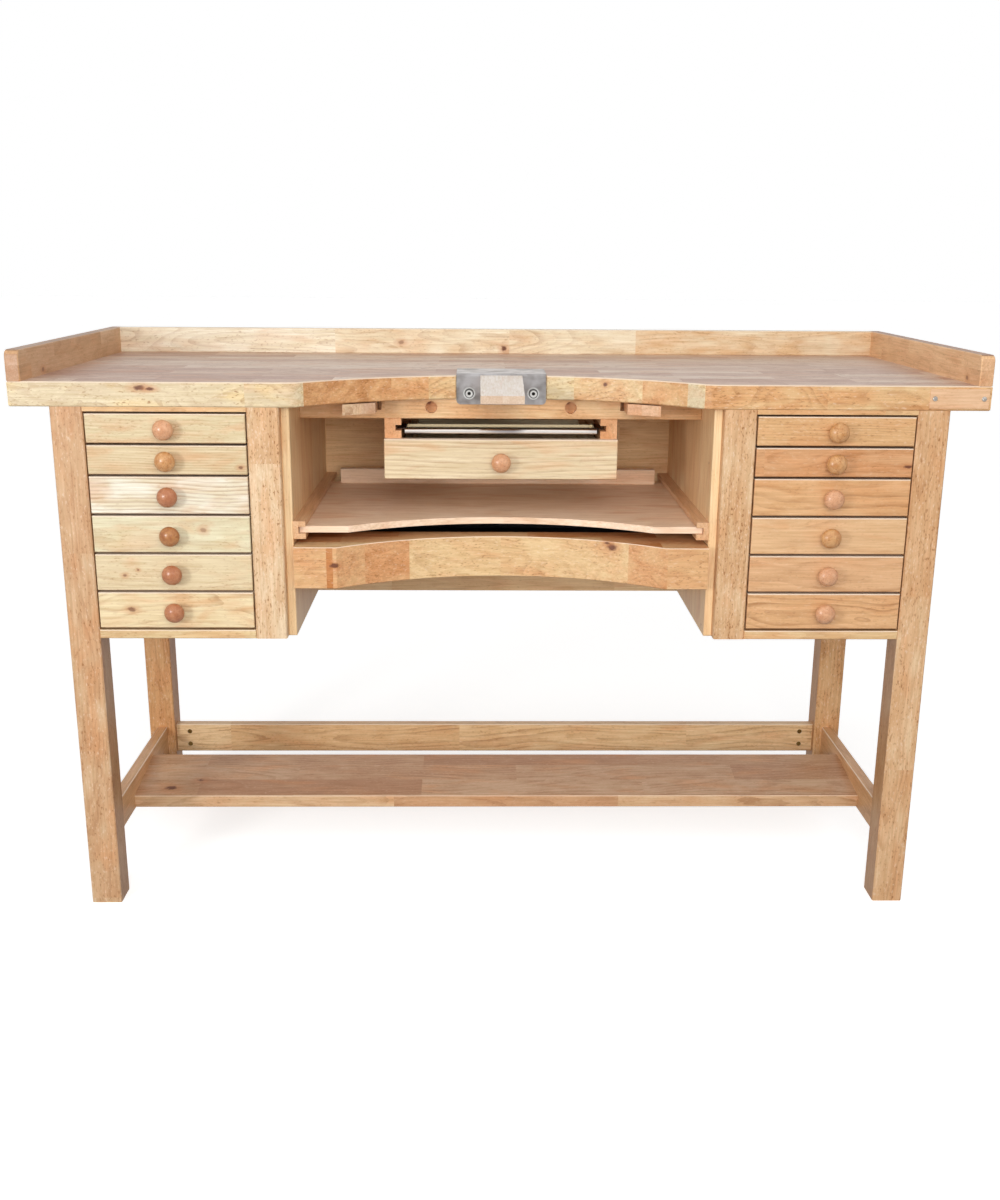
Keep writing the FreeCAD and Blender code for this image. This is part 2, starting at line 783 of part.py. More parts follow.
def centre_drawer():
    """The drawer under the tray. Its front covers the ends of the hangers."""
    half = hanger_outer_x
    front_back_y = apron_front_y - runner_clearance
    y0 = front_back_y - centre_front_thickness
    front = box(-half, half, y0, front_back_y, centre_front_bottom, centre_front_top)
    front = ease_face(front, front_arris, y0)
    knob_z = (centre_front_bottom + centre_front_top) / 2 - centre_knob_drop
    box_half = hanger_inner_x - drawer_end_gap - box_inset
    box_z0 = centre_front_bottom + hanger_lift
    box_z1 = centre_front_top - box_headroom
    pieces = make_drawer_box(-box_half, box_half, front_back_y, box_back_y, box_z0, box_z1)
    runner = make_runner(hanger_inner_x, box_half, apron_front_y + 1.0, hanger_back_y,
                         box_z0, box_z1)
    return [front] + pieces, make_knob(0, y0, knob_z), runner


save("hangers", pair(make_hanger()))
save("steel_tray", [make_tray()])
centre_pieces, centre_knob, centre_runner = centre_drawer()
save("centre_drawer", centre_pieces)
save("centre_knob", [centre_knob])
all_runners += pair(centre_runner)


# --------------------------------------------------------- bench pin and holder

def make_pin_holder():
    """A bent plate over the worktop's edge, with a slot for the pin's tenon."""
    half = holder_width / 2
    top = worktop_height + holder_sheet
    profile = [
        (holder_front_y, holder_bottom), (holder_back_y, holder_bottom),
        (holder_back_y, worktop_height), (holder_back_y + holder_flange, worktop_height),
        (holder_back_y + holder_flange, top), (holder_front_y, top),
    ]
    plate = profile_along_x(profile, -half, half)
    corners = [edge for edge in plate.Edges
               if runs_along(edge, "y") and edge.BoundBox.ZMax < holder_bottom + 0.01]
    plate = plate.makeFillet(holder_corner_round, corners)
    bend = [edge for edge in plate.Edges
            if runs_along(edge, "x") and abs(edge.BoundBox.YMax - holder_front_y) < 0.01
            and edge.BoundBox.ZMin > worktop_height]
    plate = plate.makeFillet(holder_bend, bend)
    tenon_bottom = pin_bottom + pin_tenon_rise
    slot_half = pin_tenon_width / 2 + pin_fit
    plate = plate.cut(box(-slot_half, slot_half, holder_front_y, holder_back_y,
                          tenon_bottom - pin_fit, tenon_bottom + pin_tenon_height + pin_fit))
    for x in (-holder_screw_spacing / 2, holder_screw_spacing / 2):
        plate = plate.cut(rod(screw_diameter + 2 * screw_hole_clearance,
                              Vector(x, holder_front_y, holder_screw_z), Vector(0, 1, 0),
                              holder_sheet))
    return plate


def make_bench_pin():
    """The wooden wedge that work is held against, and its tenon."""
    half = pin_width / 2
    tip_y = holder_front_y - pin_length
    profile = [
        (tip_y, pin_bottom), (holder_front_y, pin_bottom),
        (holder_front_y, worktop_height), (tip_y, pin_bottom + pin_tip_height),
    ]
    wedge = profile_along_x(profile, -half, half)
    tenon_bottom = pin_bottom + pin_tenon_rise
    tenon = box(-pin_tenon_width / 2, pin_tenon_width / 2, holder_front_y,
                holder_front_y + pin_tenon_length, tenon_bottom, tenon_bottom + pin_tenon_height)
    return wedge.fuse(tenon).removeSplitter()


def make_holder_screw(x):
    """A socket-head screw with its shank in the worktop."""
    head_y = holder_front_y - washer_thickness
    head = rod(screw_head_diameter, Vector(x, head_y, holder_screw_z), Vector(0, -1, 0),
               screw_head_height)
    shank = rod(screw_diameter, Vector(x, head_y, holder_screw_z), Vector(0, 1, 0),
                screw_length)
    socket_corners = []
    for corner in range(7):
        angle = math.radians(60 * corner)
        radius = screw_socket / 2 / math.cos(math.radians(30))
        socket_corners.append(Vector(x + radius * math.cos(angle), head_y - screw_head_height,
                                     holder_screw_z + radius * math.sin(angle)))
    socket = Part.Face(Part.makePolygon(socket_corners)).extrude(Vector(0, screw_socket_depth, 0))
    return head.fuse(shank).removeSplitter().cut(socket)


def make_holder_washer(x):
    start = Vector(x, holder_front_y - washer_thickness, holder_screw_z)
    washer = rod(washer_diameter, start, Vector(0, 1, 0), washer_thickness)
    hole = rod(screw_diameter + 2 * screw_hole_clearance, start, Vector(0, 1, 0), washer_thickness)
    return washer.cut(hole)


screw_x = holder_screw_spacing / 2
save("pin_holder", [make_pin_holder()])
save("bench_pin", [make_bench_pin()])
save("pin_holder_screws", [make_holder_screw(-screw_x), make_holder_screw(screw_x),
                           make_holder_washer(-screw_x), make_holder_washer(screw_x)])


# ---------------------------------------------------------------- catch board

def make_catch_runner():
    """A square strip on the knee panel, grooved for the board's edge."""
    bottom = catch_board_top - catch_board_thickness - runner_clearance
    groove_height = catch_board_thickness + runner_clearance + catch_groove_headroom
    margin = (catch_runner_height - groove_height) / 2
    inner_x = knee_x - catch_runner_width
    strip = box(inner_x, knee_x, knee_panel_front_y, back_y,
                bottom - margin, bottom + groove_height + margin)
    return strip.cut(box(inner_x, inner_x + catch_groove_depth, knee_panel_front_y, back_y,
                         bottom, bottom + groove_height))


def catch_board():
    """The sheet board that slides in the grooves, and the strip across its back."""
    groove_x = knee_x - catch_runner_width + catch_groove_depth
    half = groove_x - catch_board_end_gap
    y0 = front_y + catch_board_setback
    y1 = box_back_y
    board = hollowed_block(half, half - catch_board_end_flat, y0, y1,
                           catch_board_top - catch_board_thickness, catch_board_top)
    strip_half = half - catch_strip_inset
    strip = box(-strip_half, strip_half, y1 - catch_strip_width, y1,
                catch_board_top, catch_board_top + catch_strip_height)
    return [board, ease(strip, board_arris, "x")]


save("catch_board_runners", pair(make_catch_runner()))
save("catch_board", catch_board())


# -------------------------------------------------------------- sweeps drawer

def make_sweeps_front():
    """The thick jointed front, hollowed like the worktop and straight behind."""
    block = hollowed_block(sweeps_half_width, sweeps_hollow_half_width, front_y,
                           sweeps_front_back_y, sweeps_front_bottom, sweeps_front_top)
    rims = [edge for edge in block.Edges
            if edge.BoundBox.ZLength < 0.01 and edge.BoundBox.YMin < sweeps_front_back_y - 1.0
            and not runs_along(edge, "y")]
    return block.makeChamfer(front_arris, rims)


def sweeps_box_size():
    """Half width, lowest and highest Z of the sweeps drawer's box."""
    half = sweeps_half_width - sweeps_box_inset
    return half, sweeps_front_bottom, sweeps_front_top - box_headroom


def make_sweeps_pan():
    """The sheet pan that lines the drawer and catches filings."""
    half, z0, z1 = sweeps_box_size()
    outer = half - box_side_thickness - pan_gap
    y0 = sweeps_front_back_y + pan_gap
    y1 = box_back_y - box_back_thickness - pan_gap
    floor = z0 + box_bottom_rise + box_bottom_thickness
    top = z1 - pan_wall_drop
    pan = box(-outer, outer, y0, y1, floor, top)
    inner = outer - pan_sheet
    return pan.cut(box(-inner, inner, y0 + pan_sheet, y1 - pan_sheet, floor + pan_sheet, top))


half, box_z0, box_z1 = sweeps_box_size()
save("sweeps_front", [make_sweeps_front()])
save("sweeps_box", make_drawer_box(-half, half, sweeps_front_back_y, box_back_y, box_z0, box_z1))
save("sweeps_pan", [make_sweeps_pan()])
all_runners += pair(make_runner(knee_x, half, sweeps_front_back_y + 1.0, back_y, box_z0, box_z1))
save("drawer_runners", all_runners)
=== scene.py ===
import math

import bmesh
import bpy
from mathutils import Matrix, Vector


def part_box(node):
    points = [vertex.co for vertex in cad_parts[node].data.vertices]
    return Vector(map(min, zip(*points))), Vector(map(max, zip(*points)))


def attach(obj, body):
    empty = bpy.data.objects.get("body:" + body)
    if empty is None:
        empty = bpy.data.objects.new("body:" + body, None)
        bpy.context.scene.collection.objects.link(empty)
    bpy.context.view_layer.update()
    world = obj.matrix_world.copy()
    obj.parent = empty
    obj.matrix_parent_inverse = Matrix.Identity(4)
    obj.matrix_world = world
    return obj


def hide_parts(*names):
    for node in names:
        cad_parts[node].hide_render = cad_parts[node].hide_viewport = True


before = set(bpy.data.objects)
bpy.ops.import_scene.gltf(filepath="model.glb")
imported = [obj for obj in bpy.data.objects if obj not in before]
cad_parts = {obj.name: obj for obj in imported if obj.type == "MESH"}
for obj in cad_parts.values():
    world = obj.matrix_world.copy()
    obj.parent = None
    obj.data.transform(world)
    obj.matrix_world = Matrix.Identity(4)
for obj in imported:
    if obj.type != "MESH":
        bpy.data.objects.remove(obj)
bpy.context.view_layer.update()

# ---------------------------------------------------------------- the worktop
# A slab 43 mm thick, glued up from rubberwood staves that are finger-jointed
# end to end, sawn to its hollow, eased at the edges and wiped with oil. On its
# front edge each block has its own tone; the top is worn smooth, its tones partly painted sheen.

CREAM = "#DACBAC"
STRAW = "#E3CEA2"
HONEY = "#DDB98B"
ORANGE = "#D6A473"
RUST = "#C28A58"
LATE_WOOD = "#96602F"
BLUSH = "#D89A68"
# painted shade for the gap under a drawer front's bottom edge
PALE_TONE_AND_HIGHLIGHT = "#F4E2CC"
# pale flecks, and the painted highlight on top arrises
PAINTED_GAP_SHADE = "#864E28"
KNOT_RIM = "#C07A48"
KNOT_HEART = "#5E2E1C"

# what fibres do to the wood's colour, as multipliers
PALE_FIBRE = (1.09, 1.08, 1.07, 1.0)
DARK_FIBRE = (0.88, 0.81, 0.7, 1.0)

# how far up the normal of a face points: more than the first on a top face, and
# between the two on the rounded arris beside it
FLAT_TOP = 0.85
ARRIS = 0.5
# a face looks along an axis when its normal points along it by more than this
SQUARE_ON = 0.9

# how far one step of seed moves the figure along the grain, in metres
SEED_SHIFT = 0.61
# how far apart the noises of a stave numbered 0 and one numbered 1 are
STAVE_JUMP = 9.0


def linear(code):
    """A colour from its sRGB hex code, as the linear values that a shader takes."""
    values = []
    for start in (1, 3, 5):
        level = int(code[start:start + 2], 16) / 255
        values.append(level / 12.92 if level <= 0.04045 else ((level + 0.055) / 1.055) ** 2.4)
    return (*values, 1.0)


def add_node(tree, kind, inputs=None, stops=(), **settings):
    """Adds a node with its settings, and links or sets its inputs. A colour ramp also
    takes its stops, as (position, colour)."""
    node = tree.nodes.new(kind)
    for name, value in settings.items():
        setattr(node, name, value)
    for socket, value in (inputs or {}).items():
        if isinstance(value, bpy.types.NodeSocket):
            tree.links.new(value, node.inputs[socket])
        else:
            node.inputs[socket].default_value = value
    if stops:
        elements = node.color_ramp.elements
        while len(elements) < len(stops):
            elements.new(1.0)
        for element, (position, colour) in zip(elements, stops):
            element.position = position
            element.color = colour
    return node


def empty_material(name, roughness, metallic=0.0):
    """A new material, its node tree and its shader."""
    material = bpy.data.materials.new(name)
    material.use_nodes = True
    tree = material.node_tree
    tree.nodes.clear()
    shader = add_node(tree, "ShaderNodeBsdfPrincipled", {"Roughness": roughness, "Metallic": metallic})
    add_node(tree, "ShaderNodeOutputMaterial", {"Surface": shader.outputs["BSDF"]})
    return material, tree, shader


def tone_ramp(tree, pick, codes):
    """The colour that a number from 0 to 1 picks from evenly spaced tones."""
    last = len(codes) - 1
    stops = [(count / last, linear(code)) for count, code in enumerate(codes)]
    return add_node(tree, "ShaderNodeValToRGB", {"Fac": pick}, stops=stops).outputs["Color"]


def stain(tree, tone, amount, start, end, share, colour):
    """Lays a colour over a tone: none where an amount is at start, and share of it at end."""
    reach = add_node(tree, "ShaderNodeMapRange", {"Value": amount, "From Min": start, "From Max": end,
                                                  "To Min": 0.0, "To Max": share})
    return add_node(tree, "ShaderNodeMix", {0: reach.outputs[0], 6: tone, 7: colour},
                    data_type="RGBA").outputs[2]


def grain_noise(tree, laid, jump, along, across, detail, roughness=0.5, distortion=0.0):
    """Marks drawn out along the grain, with so many to the metre along it and across it."""
    place = add_node(tree, "ShaderNodeVectorMath", {0: laid, 1: (along, across, across)},
                     operation="MULTIPLY").outputs[0]
    return add_node(tree, "ShaderNodeTexNoise",
                    {"Vector": place, "W": jump, "Scale": 1.0, "Detail": detail,
                     "Roughness": roughness, "Distortion": distortion},
                    noise_dimensions="4D").outputs["Fac"]


def stave_number(tree, laid, stave):
    """A number from 0 to 1 for each stave, in rows whose end joints are staggered."""
    staves = add_node(tree, "ShaderNodeTexBrick",
                      {"Vector": laid, "Color1": (0, 0, 0, 1), "Color2": (1, 1, 1, 1),
                       "Mortar": (0.5, 0.5, 0.5, 1), "Scale": 1.0, "Mortar Size": 0.0,
                       "Brick Width": stave[0], "Row Height": stave[1]},
                      offset=0.43, offset_frequency=2, squash=1.0)
    return add_node(tree, "ShaderNodeSeparateColor", {"Color": staves.outputs["Color"]}).outputs["Red"]


def block_number(tree, x, blocks):
    """The number of each block between the joints that show, from the left end to the right."""
    first, last = blocks[0][0], -blocks[0][0]
    share = add_node(tree, "ShaderNodeMapRange", {"Value": x, "From Min": first, "From Max": last,
                                                  "To Min": 0.0, "To Max": 1.0})
    stops = [((start - first) / (last - first), (own, own, own, 1.0)) for start, own in blocks]
    chosen = add_node(tree, "ShaderNodeValToRGB", {"Fac": share.outputs[0]}, stops=stops)
    chosen.color_ramp.interpolation = "CONSTANT"
    return add_node(tree, "ShaderNodeSeparateColor", {"Color": chosen.outputs["Color"]}).outputs["Red"]


def rings_round_heart(tree, laid, jump, along, section, bend, heart):
    """Counts the growth rings out from the tree's heart, which sways along the grain."""
    across, deep, sway, ring_width = heart
    course = add_node(tree, "ShaderNodeMath", {0: along, 1: bend, 2: jump}, operation="MULTIPLY_ADD")
    swaying = add_node(tree, "ShaderNodeTexNoise", {"W": course.outputs[0], "Scale": 1.0, "Detail": 1.0},
                       noise_dimensions="1D")
    swung = add_node(tree, "ShaderNodeVectorMath", {0: swaying.outputs["Color"], 1: (sway, sway, 0.0),
                                                    2: (across - sway / 2, deep - sway / 2, 0.0)},
                     operation="MULTIPLY_ADD").outputs[0]
    radius = add_node(tree, "ShaderNodeVectorMath", {0: section, 1: swung},
                      operation="DISTANCE").outputs["Value"]
    ripple = grain_noise(tree, laid, jump, 9.0, 60.0, detail=2.0)
    rippled = add_node(tree, "ShaderNodeMath", {0: ripple, 1: 1.2 * ring_width, 2: radius},
                       operation="MULTIPLY_ADD").outputs[0]
    return add_node(tree, "ShaderNodeMath", {0: rippled, 1: ring_width}, operation="DIVIDE").outputs[0]


def late_wood_lines(tree, counted, darkness):
    """Each ring darkens slowly and ends in a sharp line, fainter in some years."""
    within = add_node(tree, "ShaderNodeMath", {0: counted}, operation="FRACT").outputs[0]
    line = add_node(tree, "ShaderNodeMapRange", {"Value": within, "From Min": 0.4, "From Max": 0.95,
                                                 "To Min": 0.0, "To Max": darkness},
                    interpolation_type="SMOOTHSTEP").outputs[0]
    year = add_node(tree, "ShaderNodeMath", {0: counted}, operation="FLOOR").outputs[0]
    chance = add_node(tree, "ShaderNodeTexWhiteNoise", {"W": year}, noise_dimensions="1D").outputs["Value"]
    strength = add_node(tree, "ShaderNodeMapRange", {"Value": chance, "To Min": 0.3, "To Max": 1.0})
    return add_node(tree, "ShaderNodeMath", {0: line, 1: strength.outputs[0]},
                    operation="MULTIPLY").outputs[0]


def knot_stain(tree, tone, place, grain, knot):
    """A dark heart with a tan rim, drawn out along the grain."""
    centre, size, stretch, depth = knot
    offset = add_node(tree, "ShaderNodeVectorMath", {0: place, 1: centre}, operation="SUBTRACT").outputs[0]
    shrink = [1.0 / size] * 3
    shrink["XYZ".index(grain)] = 1.0 / (size * stretch)
    near = add_node(tree, "ShaderNodeVectorMath", {0: offset, 1: shrink}, operation="MULTIPLY")
    length = add_node(tree, "ShaderNodeVectorMath", {0: near.outputs[0]}, operation="LENGTH")
    wobble = add_node(tree, "ShaderNodeTexNoise", {"Vector": place, "Scale": 180.0, "Detail": 2.0})
    reach = add_node(tree, "ShaderNodeMath", {0: length.outputs["Value"],
                                              1: wobble.outputs["Fac"]}).outputs[0]
    tone = stain(tree, tone, reach, 3.4, 1.3, 0.5, linear(KNOT_RIM))
    return stain(tree, tone, reach, 1.7, 1.1, depth, linear(KNOT_HEART))


def wood(name, tones, grain="X", rows="Y", stave=(0.42, 0.05), blocks=(), seed=0.0,
         rings=(14, 0.4), bend=1.5, flecks=0.4, mottle=0.5, line=LATE_WOOD, knots=(),
         roughness=0.42, top_tones=(), heart=(), edges=(), blush=0.4, face_tints=(), arris_rub_and_highlight=0.7):
    """Oiled, finger-jointed wood: satin, warm and streaky. Lengths are in metres.

    tones: from pale to dark. Each stave has a number from 0 to 1 that picks its own.
    grain, rows: the axis that the grain follows, and the one that staves lie side by side on.
    stave: its length and width.
    blocks: (start x, number), for the joints that show on every face but the top.
    seed: moves the figure along the grain, so that no two pieces match.
    rings: how many growth rings cross a slow noise, and how dark they are.
    bend: how fast they wander along the grain.
    line: the colour of late wood and of vessels.
    heart: (across, deep, sway, ring width), to lay the rings round the tree's heart, so
        that a face shows straight lines or arches.
    flecks, mottle, blush: how strong the vessels, the cloudy patches and the smears are.
    knots: (centre, size, stretch, how dark the heart is).
    top_tones: the tones of the top face; on some pieces they are partly painted light.
    edges: both ends across the grain. The top arris gets a painted highlight, the bottom one painted
    shade.
    face_tints: (axis, side, tint), to multiply the colour of faces that look along an
    axis, one way (side 1 or -1) or both (0): sawn ends soak up more oil, and faces
    turned from the light get painted shade.
    arris_rub_and_highlight: how much the top arris is rubbed paler and painted as a highlight."""
    material, tree, shader = empty_material(name, roughness)
    coordinates = add_node(tree, "ShaderNodeTexCoord").outputs
    place = coordinates["Object"]
    facing = add_node(tree, "ShaderNodeSeparateXYZ", {"Vector": coordinates["Normal"]}).outputs
    parts = add_node(tree, "ShaderNodeSeparateXYZ", {"Vector": place}).outputs
    third = ({"X", "Y", "Z"} - {grain, rows}).pop()
    along = add_node(tree, "ShaderNodeMath", {0: parts[grain], 1: SEED_SHIFT * seed}).outputs[0]
    laid = add_node(tree, "ShaderNodeCombineXYZ",
                    {0: along, 1: parts[rows], 2: parts[third]}).outputs[0]
    is_top = add_node(tree, "ShaderNodeMath", {0: facing["Z"], 1: FLAT_TOP},
                      operation="GREATER_THAN").outputs[0]

    number = stave_number(tree, laid, stave)
    if blocks:
        number = add_node(tree, "ShaderNodeMix", {0: is_top, 2: block_number(tree, parts["X"], blocks),
                                                  3: number}).outputs[0]
    jump = add_node(tree, "ShaderNodeMath", {0: number, 1: STAVE_JUMP}, operation="MULTIPLY").outputs[0]

    # cloudy patches of a paler or darker tone, some 60 mm long and 20 mm wide
    patches = grain_noise(tree, laid, jump, 14.0, 42.0, detail=2.0, distortion=0.4)
    shift = add_node(tree, "ShaderNodeMapRange", {"Value": patches, "From Min": 0.3, "From Max": 0.7,
                                                  "To Min": -0.5 * mottle, "To Max": 0.5 * mottle},
                     clamp=False).outputs[0]
    pick = add_node(tree, "ShaderNodeMath", {0: number, 1: shift}).outputs[0]
    tone = tone_ramp(tree, pick, tones)
    if top_tones:
        tone = add_node(tree, "ShaderNodeMix", {0: is_top, 6: tone, 7: tone_ramp(tree, pick, top_tones)},
                        data_type="RGBA").outputs[2]

    # orange smears, some 150 mm long and 40 mm wide
    smears = grain_noise(tree, laid, jump, 7.0, 24.0, detail=3.0, distortion=0.8)
    tone = stain(tree, tone, smears, 0.52, 0.68, blush, linear(BLUSH))

    # growth rings, fainter where the wood is paler
    if heart:
        section = add_node(tree, "ShaderNodeCombineXYZ", {0: parts[rows], 1: parts[third]}).outputs[0]
        counted = rings_round_heart(tree, laid, jump, along, section, bend, heart)
    else:
        slow = grain_noise(tree, laid, jump, bend, 11.0, detail=1.5, roughness=0.4)
        counted = add_node(tree, "ShaderNodeMath", {0: slow, 1: 2.0 * rings[0]},
                           operation="MULTIPLY").outputs[0]
    fade = add_node(tree, "ShaderNodeMapRange", {"Value": patches, "From Min": 0.35, "From Max": 0.6,
                                                 "To Min": 0.25, "To Max": 1.0}).outputs[0]
    ring = add_node(tree, "ShaderNodeMath", {0: late_wood_lines(tree, counted, rings[1]), 1: fade},
                    operation="MULTIPLY").outputs[0]
    tone = add_node(tree, "ShaderNodeMix", {0: ring, 6: tone, 7: linear(line)},
                    data_type="RGBA").outputs[2]

    # fibres, drawn 3 mm wide and 70 mm long so that they show: light and dark streaks
    fibres = grain_noise(tree, laid, jump, 14.0, 330.0, detail=2.0, roughness=0.6)
    streaks = stain(tree, PALE_FIBRE, fibres, 0.3, 0.7, 1.0, DARK_FIBRE)
    tone = add_node(tree, "ShaderNodeMix", {0: 1.0, 6: tone, 7: streaks}, data_type="RGBA",
                    blend_type="MULTIPLY").outputs[2]

    # open vessels, drawn as dark dashes 2.5 mm wide and 6 mm long, with pale ones between
    vessels = grain_noise(tree, laid, jump, 150.0, 400.0, detail=1.0)
    dashes = add_node(tree, "ShaderNodeMapRange", {"Value": vessels, "From Min": 0.6, "From Max": 0.7,
                                                   "To Min": 0.0, "To Max": flecks}).outputs[0]
    dashes = add_node(tree, "ShaderNodeMath", {0: dashes, 1: fade}, operation="MULTIPLY").outputs[0]
    tone = add_node(tree, "ShaderNodeMix", {0: dashes, 6: tone, 7: linear(line)},
                    data_type="RGBA").outputs[2]
    tone = stain(tree, tone, vessels, 0.4, 0.28, 0.4 * flecks, linear(PALE_TONE_AND_HIGHLIGHT))

    # painted highlight along the top arris, which is also rubbed paler
    tilted_up = add_node(tree, "ShaderNodeMath", {0: facing["Z"], 1: ARRIS},
                         operation="GREATER_THAN").outputs[0]
    not_flat = add_node(tree, "ShaderNodeMath", {0: facing["Z"], 1: FLAT_TOP},
                        operation="LESS_THAN").outputs[0]
    arris = add_node(tree, "ShaderNodeMath", {0: tilted_up, 1: not_flat}, operation="MULTIPLY").outputs[0]
    rubbed = add_node(tree, "ShaderNodeMath", {0: arris, 1: arris_rub_and_highlight}, operation="MULTIPLY").outputs[0]
    tone = add_node(tree, "ShaderNodeMix", {0: rubbed, 6: tone, 7: linear(PALE_TONE_AND_HIGHLIGHT)},
                    data_type="RGBA").outputs[2]

    # painted highlight along the top edge, and painted shade along the bottom edge, over the gap below
    if edges:
        bottom, top = edges
        tone = stain(tree, tone, parts[rows], top - 0.0022, top - 0.0004, 0.75, linear(PALE_TONE_AND_HIGHLIGHT))
        tone = stain(tree, tone, parts[rows], bottom + 0.0024, bottom + 0.0004, 0.7, linear(PAINTED_GAP_SHADE))
    for knot in knots:
        tone = knot_stain(tree, tone, place, grain, knot)
    for axis, side, tint in face_tints:
        turned = add_node(tree, "ShaderNodeMath", {0: facing[axis], 1: float(side)},
                          operation="MULTIPLY" if side else "ABSOLUTE").outputs[0]
        is_turned = add_node(tree, "ShaderNodeMath", {0: turned, 1: SQUARE_ON},
                             operation="GREATER_THAN").outputs[0]
        tinted = add_node(tree, "ShaderNodeMix", {0: is_turned, 6: (1.0, 1.0, 1.0, 1.0), 7: (*tint, 1.0)},
                          data_type="RGBA").outputs[2]
        tone = add_node(tree, "ShaderNodeMix", {0: 1.0, 6: tone, 7: tinted}, data_type="RGBA",
                        blend_type="MULTIPLY").outputs[2]

    bump = add_node(tree, "ShaderNodeBump", {"Strength": 0.3, "Distance": 0.0003, "Height": dashes},
                    invert=True)
    tree.links.new(tone, shader.inputs["Base Color"])
    tree.links.new(bump.outputs["Normal"], shader.inputs["Normal"])
    return material


def finish_node(node, material):
    """Gives a CAD node its material."""
    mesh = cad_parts[node].data
    mesh.materials.clear()
    mesh.materials.append(material)


worktop_blocks = [(-0.85, 0.02), (-0.449, 0.10), (-0.35, 0.86), (-0.2, 0.7), (-0.136, 0.42), (0.0, 0.2),
                  (0.131, 0.52), (0.248, 0.72), (0.321, 0.14), (0.347, 0.66), (0.56, 0.6)]
finish_node("worktop", wood(
    "rubberwood_worktop_oiled", [CREAM, STRAW, HONEY, ORANGE, RUST], stave=(0.31, 0.052),
    blocks=worktop_blocks, seed=1.0, rings=(9, 0.4), bend=5.0, flecks=0.7, mottle=0.45,
    top_tones=["#EAD6C8", "#DABFAF", "#C29C8C"],
    knots=[((-0.624, -0.316, 0.983), 0.0045, 2.2, 0.9), ((-0.606, -0.316, 0.981), 0.003, 2.4, 0.9),
           ((0.188, -0.202, 0.981), 0.004, 1.0, 0.9)]))

# ---------------------------------------------------------------- the upstands
# Three boards on edge keep parts from rolling off. Each is two strips glued
# together, and the side ones are rounded at the front. Sawn ends hold more oil.

finish_node("back_upstand", wood(
    "rubberwood_back_upstand", ["#F2ECDA", "#EADEC4", "#DEBE96"], rows="Z", stave=(0.46, 0.0265),
    seed=2.0, rings=(16, 0.3), blush=0.25,
    blocks=[(-0.83, 0.15), (-0.36, 0.6), (0.02, 0.55), (0.3, 0.85)],
    knots=[((-0.212, 0.32, 1.017), 0.004, 1.7, 0.5), ((0.014, 0.32, 1.005), 0.006, 1.0, 0.9)]))

# for each side: x of its inner face, y of its knot, its tones, its top's and its ends' tint
SIDE_UPSTANDS = {
    "left": (-0.826, -0.195, ["#D8B490", "#CCA27A", "#C4986E"], ["#B08A6C", "#9C7656"],
             (0.85, 0.84, 0.95)),
    "right": (0.826, -0.257, ["#F4D2AC", "#ECC296", "#E2B488"], ["#A87C5C", "#946848"],
              (0.86, 0.82, 0.84)),
}
for side, (inner_x, knot_y, tones, top_tones, end_tint) in SIDE_UPSTANDS.items():
    finish_node(side + "_upstand", wood(
        "rubberwood_%s_upstand" % side, tones, grain="Y", rows="Z", stave=(0.3, 0.06),
        seed=3.0 + inner_x, rings=(12, 0.25), knots=[((inner_x, knot_y, 1.002), 0.004, 1.5, 0.6)],
        top_tones=top_tones, face_tints=[("Y", 0, end_tint)], arris_rub_and_highlight=0.0))

# ---------------------------------------------------------------- the bench pin
# A beech wedge that work is filed against. Its tenon goes through a bent steel
# holder into the slab. Its top is bare, pale wood with a painted highlight; the end grain is pink.

finish_node("bench_pin", wood(
    "beech_bench_pin_bare", ["#D8C6B6", "#D4BEAA", "#CEB49E"], grain="Y", rows="X", stave=(0.5, 0.2),
    seed=4.0, rings=(8, 0.12), flecks=0.25, mottle=0.4, line="#B48C6C", roughness=0.35,
    top_tones=["#FCF6F0", "#F6EBE2"]))

TARNISH = "#6E645C"


def brushed_steel(name, colour, roughness, dulled=0.6):
    """Steel rubbed along its length: scratches 0.5 mm apart streak what it mirrors, and
    smudges of tarnish dull it."""
    material, tree, shader = empty_material(name, roughness, metallic=1.0)
    place = add_node(tree, "ShaderNodeTexCoord").outputs["Object"]
    rubbed = add_node(tree, "ShaderNodeVectorMath", {0: place, 1: (20.0, 2000.0, 2000.0)},
                      operation="MULTIPLY").outputs[0]
    scratches = add_node(tree, "ShaderNodeTexNoise",
                         {"Vector": rubbed, "Scale": 1.0, "Detail": 2.0}).outputs["Fac"]
    smudges = add_node(tree, "ShaderNodeTexNoise",
                       {"Vector": place, "Scale": 30.0, "Detail": 3.0}).outputs["Fac"]
    uneven = add_node(tree, "ShaderNodeMapRange", {"Value": smudges, "To Min": roughness - 0.1,
                                                   "To Max": roughness + 0.12})
    base = linear(colour)
    scratched = (base[0] * 0.6, base[1] * 0.6, base[2] * 0.6, 1.0)
    tone = stain(tree, base, scratches, 0.3, 0.7, 0.4, scratched)
    tone = stain(tree, tone, smudges, 0.4, 0.65, dulled, linear(TARNISH))
    bump = add_node(tree, "ShaderNodeBump", {"Strength": 0.2, "Distance": 0.0001, "Height": scratches})
    tree.links.new(tone, shader.inputs["Base Color"])
    tree.links.new(uneven.outputs[0], shader.inputs["Roughness"])
    tree.links.new(bump.outputs["Normal"], shader.inputs["Normal"])
    return material


finish_node("pin_holder", brushed_steel("steel_sheet_brushed", "#CAC6C6", 0.34, dulled=0.7))

SCREW_X = 0.059
SCREW_Z = 0.9605
WASHER_RADIUS = 0.0115
# from the middle out to the washer's rim: the socket, the head, the seam round it, the washer; the socket
# and the seam are painted shade
SCREW_BANDS = [(0.0, "#2C2A28"), (0.26, "#343230"), (0.3, "#FAF8F4"), (0.56, "#DCDAD6"),
               (0.62, "#403E3C"), (0.72, "#403E3C"), (0.78, "#FAF8F4"), (1.0, "#C8C6C2")]


